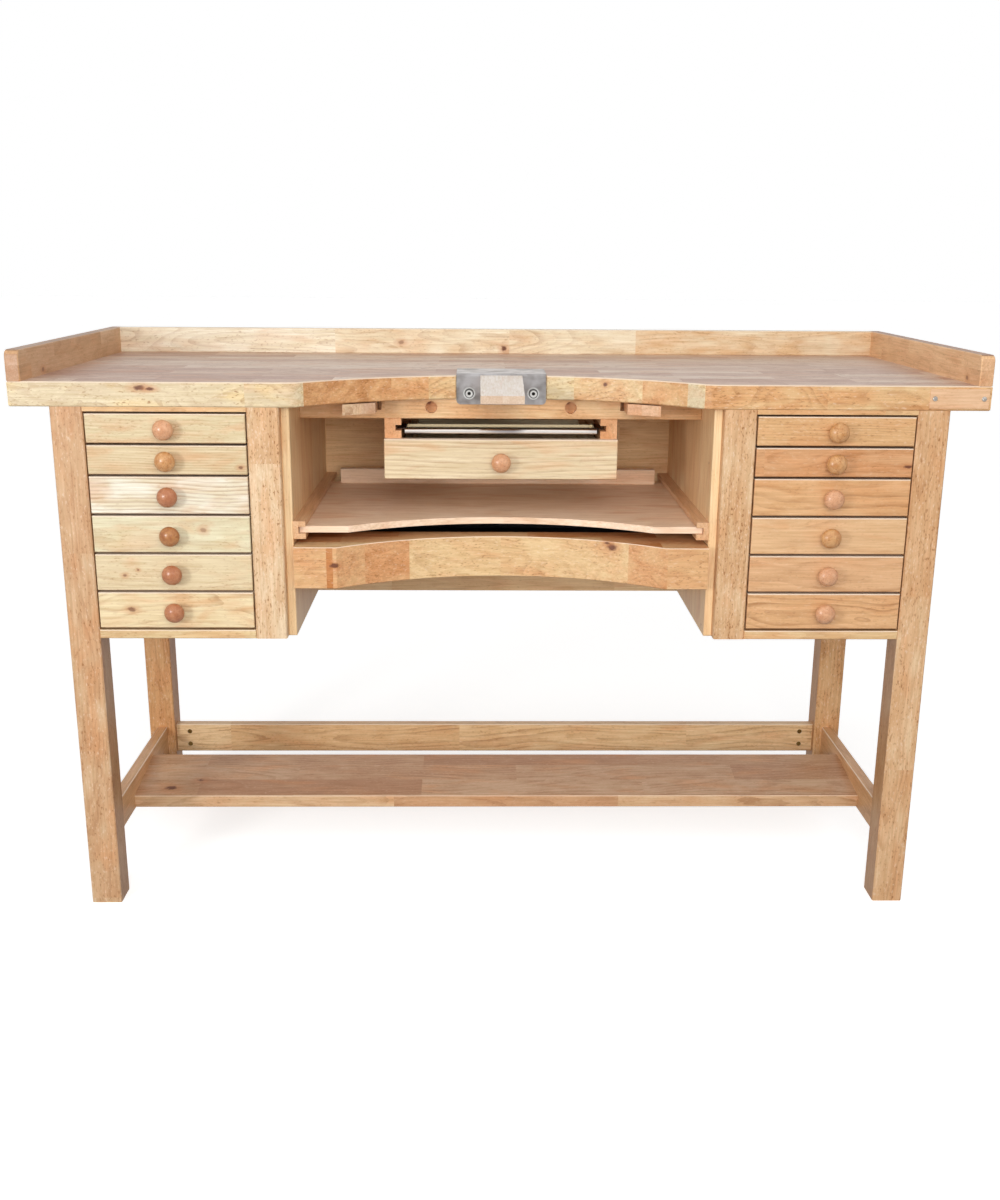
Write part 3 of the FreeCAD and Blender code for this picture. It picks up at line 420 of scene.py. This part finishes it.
def socket_screw_steel():
    """Bright turned steel, with painted shade in the socket and in the seam round the head."""
    material, tree, shader = empty_material("screw_steel_bright", 0.28, metallic=1.0)
    place = add_node(tree, "ShaderNodeTexCoord").outputs["Object"]
    parts = add_node(tree, "ShaderNodeSeparateXYZ", {"Vector": place}).outputs
    either_side = add_node(tree, "ShaderNodeMath", {0: parts["X"]}, operation="ABSOLUTE").outputs[0]
    flat = add_node(tree, "ShaderNodeCombineXYZ", {0: either_side, 2: parts["Z"]}).outputs[0]
    reach = add_node(tree, "ShaderNodeVectorMath", {0: flat, 1: (SCREW_X, 0.0, SCREW_Z)},
                     operation="DISTANCE").outputs["Value"]
    share = add_node(tree, "ShaderNodeMapRange", {"Value": reach, "From Min": 0.0,
                                                  "From Max": WASHER_RADIUS}).outputs[0]
    bands = add_node(tree, "ShaderNodeValToRGB", {"Fac": share},
                     stops=[(position, linear(code)) for position, code in SCREW_BANDS])
    tree.links.new(bands.outputs["Color"], shader.inputs["Base Color"])
    return material


finish_node("pin_holder_screws", socket_screw_steel())

# ---------------------------------------------------------------- legs and posts
# Square posts sawn from the same finger-jointed rubberwood, grain upright.
# Long pieces show joints every 30 cm or so, where the tone changes.

REAR_LEG_TONES = ["#DDB283", "#D3A06E", "#C8905E"]
LEG_TONES = {
    "front_left_leg": ["#D8C0A2", "#D1AE8A", "#C89E78"],
    "front_right_leg": ["#E2C6A2", "#DBB48C", "#D2A479"],
    "rear_left_leg": REAR_LEG_TONES,
    "rear_right_leg": REAR_LEG_TONES,
}
# painted shade: the legs' faces towards the knees are darker and browner
KNEE_SIDE_PAINTED_SHADE = (0.7, 0.6, 0.5)
for count, (node, tones) in enumerate(LEG_TONES.items()):
    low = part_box(node)[0]
    knee_side = 1 if low.x < 0 else -1
    finish_node(node, wood(
        "rubberwood_" + node, tones, grain="Z", rows="X", stave=(0.34, 0.3), seed=5.0 + count,
        rings=(1, 0.32), bend=2.0, flecks=0.8, mottle=0.8,
        heart=(low.x + 0.01, low.y + 0.018, 0.05, 0.007),
        face_tints=[("X", knee_side, KNEE_SIDE_PAINTED_SHADE)]))
finish_node("case_posts", wood(
    "rubberwood_case_posts", ["#E4CCAC", "#DCBB96", "#D2A980"], grain="Z", rows="X", stave=(0.6, 0.3),
    seed=9.0, rings=(9, 0.28), flecks=0.9, mottle=0.9))

# ---------------------------------------------------------------- stretchers and foot rest
# Planks between the legs. The foot rest is tilted for the worker's shoes and
# is darker on top, and the rear stretcher is drawn up by bolts and brass nuts.

STRETCHER_TONES = ["#E2BE94", "#D8AB7E", "#CB9A6A"]
finish_node("rear_stretcher", wood(
    "rubberwood_rear_stretcher", ["#ECCDA2", "#E2BC8E", "#D6A878"], rows="Z", stave=(0.52, 0.2),
    seed=10.0, rings=(1, 0.5), bend=2.2, heart=(0.135, 0.2, 0.05, 0.008)))
finish_node("side_stretchers", wood(
    "rubberwood_side_stretchers", STRETCHER_TONES, grain="Y", rows="Z", stave=(0.6, 0.3),
    seed=11.0, rings=(12, 0.3)))
finish_node("foot_rest", wood(
    "rubberwood_foot_rest", ["#E6C6A0", "#DBB088", "#CF9F78"], rows="Y", stave=(0.46, 0.058),
    seed=12.0, rings=(1, 0.45), bend=2.0, heart=(-0.06, 0.12, 0.09, 0.009), arris_rub_and_highlight=0.35,
    blocks=[(-0.72, 0.3), (-0.214, 0.9), (0.243, 0.35)],
    top_tones=["#D0B092", "#C29A79", "#B58867"],
    knots=[((-0.675, -0.09, 0.14), 0.007, 1.8, 0.9), ((-0.62, -0.06, 0.147), 0.006, 1.5, 0.9)]))
finish_node("stretcher_bolts", brushed_steel("bolt_steel_zinc", "#B9B6AC", 0.3))


def turned_brass():
    """Plain brass rod, turned and left bright, dulled in clouds a few millimetres wide."""
    material, tree, shader = empty_material("brass_turned", 0.3, metallic=1.0)
    place = add_node(tree, "ShaderNodeTexCoord").outputs["Object"]
    dulled = add_node(tree, "ShaderNodeTexNoise", {"Vector": place, "Scale": 400.0}).outputs["Fac"]
    tone = add_node(tree, "ShaderNodeMix", {0: dulled, 6: linear("#8A6C3E"), 7: linear("#5E4624")},
                    data_type="RGBA").outputs[2]
    tree.links.new(tone, shader.inputs["Base Color"])
    return material


finish_node("barrel_nuts", turned_brass())

# ---------------------------------------------------------------- drawer cases
# Solid boards and panels between the legs and posts, planed and oiled like the
# rest, a little browner, with a fine straight grain and few marks.

# painted light: the panels are paler than this wood elsewhere, to brighten the shaded knee space and cases
PANEL_TONES = ["#F8DDB4", "#F4D3A6", "#ECC798"]
panel_wood = wood("rubberwood_panels", PANEL_TONES, grain="Z", rows="Y", stave=(0.9, 0.16), seed=13.0,
                  rings=(8, 0.12), flecks=0.2, mottle=0.5, roughness=0.4,
                  knots=[((0.373, -0.262, 0.848), 0.0016, 1.0, 0.9),
                         ((0.373, -0.266, 0.546), 0.0016, 1.0, 0.9)])
for node in ("end_panels", "knee_panels"):
    finish_node(node, panel_wood)
finish_node("back_panel", wood(
    "rubberwood_back_panel", PANEL_TONES, rows="Z", stave=(0.5, 0.09), seed=13.5,
    rings=(8, 0.15), flecks=0.2, mottle=0.5, roughness=0.5))
finish_node("case_bottoms", wood(
    "rubberwood_case_boards", [STRAW, HONEY, ORANGE], rows="Y", stave=(0.9, 0.09), seed=14.0))
finish_node("case_rails", wood(
    "rubberwood_case_rails", [HONEY, ORANGE], rows="Y", stave=(0.9, 0.09), seed=14.5))

# ---------------------------------------------------------------- drawers
# Six solid fronts a side on grooved boxes. Each front is cut from one board, so
# the growth rings run right across it. The left ones are straw, the right oranger.

# for each drawer from the top down: its pale and dark tone, the rings' width and darkness,
# where the tree's heart runs (above the middle, behind the face), how far and how fast it
# sways, the flecks and the knots. Ring width, heart and sway are in millimetres, knots in metres.
DRAWER_FINISHES = {
    "left_drawer_1": (["#D8C9A6", "#D5B792"], 7, 0.2, (70, 30), 25, 2.5, 0.45, ()),
    "left_drawer_2": (["#D7C5A2", "#D1AC88"], 4.5, 0.4, (60, 10), 20, 3.0, 0.25,
                      [((-0.457, -0.314, 0.845), 0.003, 1.5, 0.7)]),
    "left_drawer_3": (["#EBE8DA", "#E2D8C0"], 7, 0.6, (65, 8), 30, 3.5, 0.15, ()),
    "left_drawer_4": (["#DFD8BA", "#D9CAA6"], 9, 0.2, (0, 45), 30, 3.0, 0.3,
                      [((-0.529, -0.314, 0.733), 0.0045, 1.2, 0.4)]),
    "left_drawer_5": (["#DECEAC", "#D9C29E"], 7, 0.3, (10, 30), 40, 3.0, 0.35,
                      [((-0.673, -0.314, 0.65), 0.003, 1.3, 0.6),
                       ((-0.649, -0.314, 0.66), 0.002, 1.3, 0.6)]),
    "left_drawer_6": (["#E6D4AE", "#DDB98E"], 9, 0.42, (10, 14), 50, 4.0, 0.3,
                      [((-0.665, -0.314, 0.587), 0.0045, 1.6, 0.7)]),
    "right_drawer_1": (["#D9AF80", "#CF9E6C"], 4.5, 0.35, (70, 8), 20, 3.0, 0.5, ()),
    "right_drawer_2": (["#D3A277", "#CA9264"], 8, 0.35, (20, 20), 45, 4.0, 0.35,
                       [((0.716, -0.314, 0.851), 0.0032, 2.4, 0.9)]),
    "right_drawer_3": (["#DCB184", "#D5A474"], 15, 0.55, (28, 10), 60, 4.5, 0.25, ()),
    "right_drawer_4": (["#DFB88E", "#D9AB80"], 9, 0.3, (0, 40), 40, 3.0, 0.25, ()),
    "right_drawer_5": (["#DCB188", "#D5A47A"], 13, 0.4, (0, 22), 55, 4.0, 0.3, ()),
    "right_drawer_6": (["#DCAF82", "#D39D70"], 10, 0.6, (-6, 12), 60, 4.0, 0.35, ()),
    "centre_drawer": (["#E1D0B0", "#DCB698"], 9, 0.45, (55, 6), 25, 2.0, 0.15, ()),
}
for count, (node, finish) in enumerate(DRAWER_FINISHES.items()):
    (pale, dark), ring_width, darkness, (up, behind), sway, bend, flecks, knots = finish
    low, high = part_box(node)
    heart = ((low.z + high.z) / 2 + up / 1000, low.y + behind / 1000, sway / 1000, ring_width / 1000)
    # edges paints a highlight along each front's top arris and shade along its bottom one
    finish_node(node, wood(
        "rubberwood_" + node, [pale, pale, dark], rows="Z", stave=(2.0, 2.0), seed=15.0 + 2.7 * count,
        rings=(1, darkness), bend=bend, flecks=flecks, mottle=0.9, knots=knots, heart=heart,
        edges=(low.z, high.z)))

# ---------------------------------------------------------------- knobs
# Turned from a redder wood and lacquered: a round cap on a short waisted neck.
# Those on the left are darker towards the bottom, the others match the drawers.

# the profile, as (radius, distance in front of the drawer) in millimetres
KNOB_PROFILE = [(11.0, 0.0), (9.5, 1.6), (8.6, 3.8), (8.7, 6.2), (10.8, 8.6), (14.0, 11.6),
                (16.6, 14.2), (17.8, 16.6), (18.0, 18.6), (17.2, 21.2), (15.2, 24.0),
                (12.0, 26.6), (8.0, 28.7), (4.0, 29.7), (0.0, 30.0)]
KNOB_STEPS = 40
SAME_POINT = 1e-6
KNOB_TONES = {"rosy": ("#DBA67E", "#CC9066"), "honey": ("#D3A06A", "#BC8048"),
              "red": ("#B87A52", "#A8653E"), "brown": ("#B47A44", "#9C5E2E")}
KNOB_PORE = "#7A4526"
KNOB_ORDER = {"left": ("rosy", "honey", "red", "brown", "red", "red"),
              "right": ("honey", "honey", "rosy", "honey", "rosy", "rosy")}


def lacquered_knob_wood(name, pale, dark):
    """Red-brown turned wood under a satin lacquer: soft clouds 9 mm wide, fine dark pores,
    and a highlight on the cap."""
    material, tree, shader = empty_material(name, 0.3)
    shader.inputs["Coat Weight"].default_value = 0.4
    shader.inputs["Coat Roughness"].default_value = 0.25
    place = add_node(tree, "ShaderNodeTexCoord").outputs["Object"]
    clouds = add_node(tree, "ShaderNodeTexNoise", {"Vector": place, "Scale": 110.0, "Detail": 3.0,
                                                   "Distortion": 0.6}).outputs["Fac"]
    pores = add_node(tree, "ShaderNodeTexNoise",
                     {"Vector": place, "Scale": 480.0, "Detail": 1.0}).outputs["Fac"]
    tone = stain(tree, linear(pale), clouds, 0.35, 0.65, 1.0, linear(dark))
    tone = stain(tree, tone, pores, 0.55, 0.75, 0.45, linear(KNOB_PORE))
    tree.links.new(tone, shader.inputs["Base Color"])
    return material


def new_object(name, shape, material):
    """Makes an object of a finished bmesh, at the origin."""
    mesh = bpy.data.meshes.new(name)
    shape.to_mesh(mesh)
    shape.free()
    made = bpy.data.objects.new(name, mesh)
    bpy.context.scene.collection.objects.link(made)
    mesh.materials.append(material)
    return made


def turned_knob(name, node, body, material):
    """Spins the profile round the axis of the CAD knob that it stands for."""
    low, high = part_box(node)
    centre = Vector(((low.x + high.x) / 2, high.y, (low.z + high.z) / 2))
    shape = bmesh.new()
    outline = [shape.verts.new(centre + Vector((radius, -out, 0.0)) / 1000)
               for radius, out in KNOB_PROFILE]
    links = [shape.edges.new(pair) for pair in zip(outline, outline[1:])]
    bmesh.ops.spin(shape, geom=outline + links, cent=centre, axis=(0, 1, 0), angle=2 * math.pi,
                   steps=KNOB_STEPS, use_merge=True)
    bmesh.ops.remove_doubles(shape, verts=shape.verts, dist=SAME_POINT)
    bmesh.ops.holes_fill(shape, edges=shape.edges, sides=0)
    bmesh.ops.recalc_face_normals(shape, faces=shape.faces)
    for face in shape.faces:
        face.smooth = True
    knob = new_object(name, shape, material)
    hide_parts(node)
    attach(knob, body)


knob_woods = {name: lacquered_knob_wood("lacquered_knob_wood_" + name, pale, dark)
              for name, (pale, dark) in KNOB_TONES.items()}
for side, order in KNOB_ORDER.items():
    for number, tone_name in enumerate(order, start=1):
        turned_knob("%s_turned_knob_%d" % (side, number), "%s_knob_%d" % (side, number),
                    "%s_drawer_%d_body" % (side, number), knob_woods[tone_name])
turned_knob("centre_turned_knob", "centre_knob", "centre_drawer_body", knob_woods["rosy"])

# ---------------------------------------------------------------- rail, armrests and guides
# Softwood-pale rail under the slab with two peg holes, and two bars in notches
# that pull out to rest the arms. The bars are two strips glued side by side.

# the bare end grain inside the holes is darker, and a painted shadow darkens their upper left
HOLE_X = 0.129
HOLE_Z = 0.934
bore_grain_and_painted_shadow = ([((x, -0.15, HOLE_Z), 0.0085, 1.0, 0.2) for x in (-HOLE_X, HOLE_X)]
         + [((x - 0.006, -0.152, HOLE_Z + 0.009), 0.0055, 1.0, 0.8) for x in (-HOLE_X, HOLE_X)])
finish_node("apron_rail", wood(
    "rubberwood_apron_rail", ["#E6C89E", "#DEB488", "#D4A474"], rows="Z", stave=(0.5, 0.2), seed=50.0,
    rings=(1, 0.35), bend=1.2, flecks=0.35, mottle=0.8, knots=bore_grain_and_painted_shadow, heart=(0.98, -0.16, 0.03, 0.007)))
finish_node("left_armrest", wood(
    "rubberwood_left_armrest", ["#DFC6A4", "#CBA88C", "#B8907A"], grain="Y", rows="X",
    stave=(0.6, 0.028), seed=51.0, rings=(20, 0.5), bend=6.0))
finish_node("right_armrest", wood(
    "rubberwood_right_armrest", ["#DDB492", "#D8A883", "#D09C78"], grain="Y", rows="X",
    stave=(0.6, 0.028), seed=51.5, rings=(16, 0.3), bend=6.0))
runner_wood = wood("rubberwood_runners", ["#DBAA80", "#D39C6F", "#C88D60"], grain="Y", rows="X",
                   stave=(0.6, 0.2), seed=52.0, rings=(14, 0.35))
for node in ("hangers", "armrest_guides", "drawer_runners"):
    finish_node(node, runner_wood)

# ---------------------------------------------------------------- steel tray
# Bright sheet, folded and hemmed, that slides in the grooves over the drawer.
# Its front lip is rolled, so it mirrors a light band between two dark ones.

# how far back from the front of the lip the pan and its painted shade start, and where the painted yellow
# reflection of the wood starts
TRAY_LIP_DEPTH = 0.011
TRAY_REFLECTION_DEPTH = 0.088


def folded_tray_steel(front):
    """Polished sheet in pale and grey streaks. The pan behind the lip is painted dark in front,
    as painted shade, and yellow at the back, as a painted reflection of the wood."""
    material, tree, shader = empty_material("steel_tray_bright", 0.2, metallic=1.0)
    place = add_node(tree, "ShaderNodeTexCoord").outputs["Object"]
    back = add_node(tree, "ShaderNodeSeparateXYZ", {"Vector": place}).outputs["Y"]
    drawn_out = add_node(tree, "ShaderNodeVectorMath", {0: place, 1: (9.0, 60.0, 60.0)},
                         operation="MULTIPLY").outputs[0]
    smudges = add_node(tree, "ShaderNodeTexNoise",
                       {"Vector": drawn_out, "Scale": 1.0, "Detail": 1.0}).outputs["Fac"]
    tone = stain(tree, linear("#A8A2A4"), smudges, 0.35, 0.5, 1.0, linear("#F8F0E8"))
    # painted shade behind the lip, then a painted yellow reflection of the wood
    for depth, blur, code in ((TRAY_LIP_DEPTH, 0.001, "#665850"), (TRAY_REFLECTION_DEPTH, 0.003, "#F6E8CA")):
        tone = stain(tree, tone, back, front + depth - blur, front + depth + blur, 1.0, linear(code))
    tree.links.new(tone, shader.inputs["Base Color"])
    return material


finish_node("steel_tray", folded_tray_steel(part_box("steel_tray")[0].y))

# ---------------------------------------------------------------- catch board
# Birch plywood sheet, sanded smooth, in square runners of solid wood. It is
# pale on its sawn edge and slightly grey on the face.

finish_node("catch_board", wood(
    "birch_ply_catch_board", ["#FAE6D2", "#F6DCC4", "#EED0B4"], stave=(3.0, 3.0), seed=53.0,
    rings=(8, 0.1), flecks=0.12, mottle=0.5))
finish_node("catch_board_runners", wood(
    "rubberwood_catch_runners", ["#E0BC98", "#D8AB82"], grain="Y", rows="X", stave=(1.0, 0.1),
    seed=54.0, rings=(10, 0.2)))

# ---------------------------------------------------------------- sweeps drawer
# The front is a block glued up from short staves and sawn to the same hollow
# as the worktop; a plain box and a dark steel pan behind it catch the filings.

sweeps_blocks = [(-0.3715, 0.56), (-0.316, 0.98), (-0.302, 0.62), (-0.249, 0.74), (-0.171, 0.2),
                 (0.0, 0.26), (0.232, 0.66), (0.298, 0.5)]
finish_node("sweeps_front", wood(
    "rubberwood_sweeps_front", ["#E6CB9E", "#E0BE90", "#DAAE80", "#D59F70", "#BC7A42"],
    stave=(0.24, 0.045), blocks=sweeps_blocks, seed=55.0, rings=(12, 0.3), bend=3.0, flecks=0.6,
    mottle=0.35,
    knots=[((0.203, -0.262, 0.692), 0.0065, 1.6, 0.9), ((0.19, -0.259, 0.699), 0.003, 3.0, 0.9),
           ((-0.299, -0.313, 0.669), 0.0045, 1.8, 0.9)]))
finish_node("sweeps_box", wood("rubberwood_sweeps_box", STRETCHER_TONES, stave=(2.0, 0.5), seed=56.0))


def dark_steel_sheet():
    """Mill-scale steel sheet, dark and matt, with cloudy patches 70 mm wide."""
    material, tree, shader = empty_material("steel_sheet_dark", 0.55, metallic=0.85)
    place = add_node(tree, "ShaderNodeTexCoord").outputs["Object"]
    clouds = add_node(tree, "ShaderNodeTexNoise",
                      {"Vector": place, "Scale": 14.0, "Detail": 4.0}).outputs["Fac"]
    tone = add_node(tree, "ShaderNodeMix", {0: clouds, 6: linear("#4A4C50"), 7: linear("#6A6C70")},
                    data_type="RGBA").outputs[2]
    tree.links.new(tone, shader.inputs["Base Color"])
    return material


finish_node("sweeps_pan", dark_steel_sheet())

# ---------------------------------------------------------------- plaque
# A bare plate of pale wood on the right end of the slab's front edge, held by
# two dome-headed nails. It carries nothing.

PLAQUE_X = (0.742, 0.846)
PLAQUE_Z = (0.954, 0.988)
PLAQUE_THICKNESS = 0.0015
PLAQUE_ARRIS = 0.0005
NAIL_INSET = 0.009
NAIL_RADIUS = 0.0046
# the dome's height as a share of its radius
NAIL_DOME = 0.45

slab_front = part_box("worktop")[0].y
plate = bmesh.new()
bmesh.ops.create_cube(plate, size=1.0)
plate_size = (PLAQUE_X[1] - PLAQUE_X[0], PLAQUE_THICKNESS, PLAQUE_Z[1] - PLAQUE_Z[0])
plate_middle = (sum(PLAQUE_X) / 2, slab_front - PLAQUE_THICKNESS / 2, sum(PLAQUE_Z) / 2)
bmesh.ops.scale(plate, vec=plate_size, verts=plate.verts)
bmesh.ops.translate(plate, vec=plate_middle, verts=plate.verts)
bmesh.ops.bevel(plate, geom=plate.edges[:], offset=PLAQUE_ARRIS, affect="EDGES", segments=2,
                profile=0.5, material=-1)
plaque = new_object("bare_plaque", plate, wood(
    "pale_plaque_wood", ["#E9C8A6", "#E4BC98"], rows="Z", stave=(1.0, 1.0), seed=60.0,
    rings=(8, 0.15), flecks=0.2))
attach(plaque, "bench")

nail_steel = brushed_steel("nail_steel_bright", "#D8D2CA", 0.25)
for number, x in enumerate((PLAQUE_X[0] + NAIL_INSET, PLAQUE_X[1] - NAIL_INSET), start=1):
    dome = bmesh.new()
    bmesh.ops.create_uvsphere(dome, u_segments=24, v_segments=12, radius=NAIL_RADIUS)
    bmesh.ops.scale(dome, vec=(1.0, NAIL_DOME, 1.0), verts=dome.verts)
    bmesh.ops.translate(dome, vec=(x, slab_front - PLAQUE_THICKNESS, sum(PLAQUE_Z) / 2),
                        verts=dome.verts)
    for face in dome.faces:
        face.smooth = True
    nail = new_object("plaque_nail_%d" % number, dome, nail_steel)
    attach(nail, "bench")

# ---------------------------------------------------------------- floor, light and camera
# A white studio floor that keeps a soft shadow, three soft lights in front, a low
# fill from behind and from the ends, and a camera at a standing viewer's height.

FLOOR_SIZE = 60.0
FLOOR_GLOW = 0.61
FLOOR_SEEN = 0.8
FLOOR_BOUNCE = 0.24
FLOOR_MIRRORED = 0.6


def studio_floor():
    """White to the camera and in reflections, with a soft shadow; it throws little light back."""
    material, tree, shader = empty_material("studio_floor", 0.9)
    shader.inputs["Specular IOR Level"].default_value = 0.0
    shader.inputs["Emission Color"].default_value = (1.0, 1.0, 1.0, 1.0)
    ray = add_node(tree, "ShaderNodeLightPath").outputs
    seen = add_node(tree, "ShaderNodeMath", {0: ray["Is Camera Ray"], 1: ray["Is Transmission Ray"]},
                    use_clamp=True).outputs[0]
    seen = add_node(tree, "ShaderNodeMath", {0: ray["Is Glossy Ray"], 1: FLOOR_MIRRORED, 2: seen},
                    operation="MULTIPLY_ADD", use_clamp=True).outputs[0]
    shade = add_node(tree, "ShaderNodeMix", {0: seen, 6: (FLOOR_BOUNCE,) * 3 + (1.0,),
                                             7: (FLOOR_SEEN,) * 3 + (1.0,)}, data_type="RGBA")
    glow = add_node(tree, "ShaderNodeMath", {0: seen, 1: FLOOR_GLOW}, operation="MULTIPLY")
    tree.links.new(shade.outputs[2], shader.inputs["Base Color"])
    tree.links.new(glow.outputs[0], shader.inputs["Emission Strength"])
    return material


ground = bmesh.new()
bmesh.ops.create_grid(ground, x_segments=1, y_segments=1, size=FLOOR_SIZE / 2)
new_object("studio_floor", ground, studio_floor())

WORLD_FRONT = 0.86
WORLD_SIDE = 0.12
WORLD_BACK_LOW = 1.3
WORLD_ENDS_LOW = 0.2
world = bpy.data.worlds.new("studio")
bpy.context.scene.world = world
world.use_nodes = True
sky = world.node_tree
sky.nodes.clear()
ray = add_node(sky, "ShaderNodeLightPath").outputs
seen = add_node(sky, "ShaderNodeMath", {0: ray["Is Camera Ray"], 1: ray["Is Glossy Ray"]},
                use_clamp=True).outputs[0]
seen = add_node(sky, "ShaderNodeMath", {0: seen, 1: ray["Is Transmission Ray"]},
                use_clamp=True).outputs[0]
direction = add_node(sky, "ShaderNodeTexCoord").outputs["Generated"]
toward = add_node(sky, "ShaderNodeSeparateXYZ", {"Vector": direction}).outputs
fill = add_node(sky, "ShaderNodeMapRange", {"Value": toward["Y"], "From Min": 0.4, "From Max": -0.8,
                                            "To Min": WORLD_SIDE, "To Max": WORLD_FRONT},
                interpolation_type="SMOOTHSTEP").outputs[0]
# low fill from behind and from both ends, for those faces; little of it reaches the top
low_down = add_node(sky, "ShaderNodeMapRange", {"Value": toward["Z"], "From Min": 0.55,
                                                "From Max": 0.25, "To Min": 0.0, "To Max": 1.0},
                    interpolation_type="SMOOTHSTEP").outputs[0]
sideways = add_node(sky, "ShaderNodeMath", {0: toward["X"]}, operation="ABSOLUTE").outputs[0]
for reach, start, end, strength in ((toward["Y"], 0.1, 0.6, WORLD_BACK_LOW),
                                    (sideways, 0.7, 0.95, WORLD_ENDS_LOW)):
    lobe = add_node(sky, "ShaderNodeMapRange", {"Value": reach, "From Min": start, "From Max": end,
                                                "To Min": 0.0, "To Max": strength},
                    interpolation_type="SMOOTHSTEP").outputs[0]
    fill = add_node(sky, "ShaderNodeMath", {0: lobe, 1: low_down, 2: fill},
                    operation="MULTIPLY_ADD").outputs[0]
# the camera and mirrors see plain white instead
level = add_node(sky, "ShaderNodeMix", {0: seen, 2: fill, 3: 1.0}).outputs[0]
backdrop = add_node(sky, "ShaderNodeBackground", {"Color": (1.0, 1.0, 1.0, 1.0), "Strength": level})
add_node(sky, "ShaderNodeOutputWorld", {"Surface": backdrop.outputs[0]})


def soft_light(name, place, aim, size, power, mirrored=False):
    """A square softbox pointed at a place on the bench, mirrored in shiny pieces or not."""
    lamp = bpy.data.lights.new(name, "AREA")
    lamp.shape = "SQUARE"
    lamp.size = size
    lamp.energy = power
    light = bpy.data.objects.new(name, lamp)
    bpy.context.scene.collection.objects.link(light)
    light.visible_glossy = mirrored
    light.location = place
    light.rotation_euler = (Vector(aim) - Vector(place)).to_track_quat("-Z", "Y").to_euler()


BENCH_MIDDLE = (0.0, 0.0, 0.8)
BENCH_FRONT = (0.0, -0.3, 0.8)
soft_light("key_light", (-2.1, -2.8, 1.25), BENCH_FRONT, size=0.55, power=30.0, mirrored=True)
soft_light("front_light", (0.2, -2.9, 1.35), BENCH_MIDDLE, size=1.0, power=25.5)
soft_light("top_light", (0.0, -2.3, 2.3), BENCH_MIDDLE, size=1.2, power=11.0)

CAMERA_PLACE = (-0.043, -2.5046, 1.2176)
CAMERA_DOWN = math.radians(15.601)
CAMERA_RIGHT = math.radians(1.064)
CAMERA_ROLL = math.radians(-0.407)
LENS = 37.785
SENSOR = 36.0
lens = bpy.data.cameras.new("camera")
lens.lens = LENS
lens.sensor_width = SENSOR
camera = bpy.data.objects.new("camera", lens)
bpy.context.scene.collection.objects.link(camera)
turn = (Matrix.Rotation(-CAMERA_RIGHT, 4, "Z")
        @ Matrix.Rotation(math.radians(90) - CAMERA_DOWN, 4, "X")
        @ Matrix.Rotation(-CAMERA_ROLL, 4, "Z"))
camera.matrix_world = Matrix.Translation(CAMERA_PLACE) @ turn
bpy.context.scene.camera = camera
bpy.context.scene.view_settings.view_transform = "Standard"
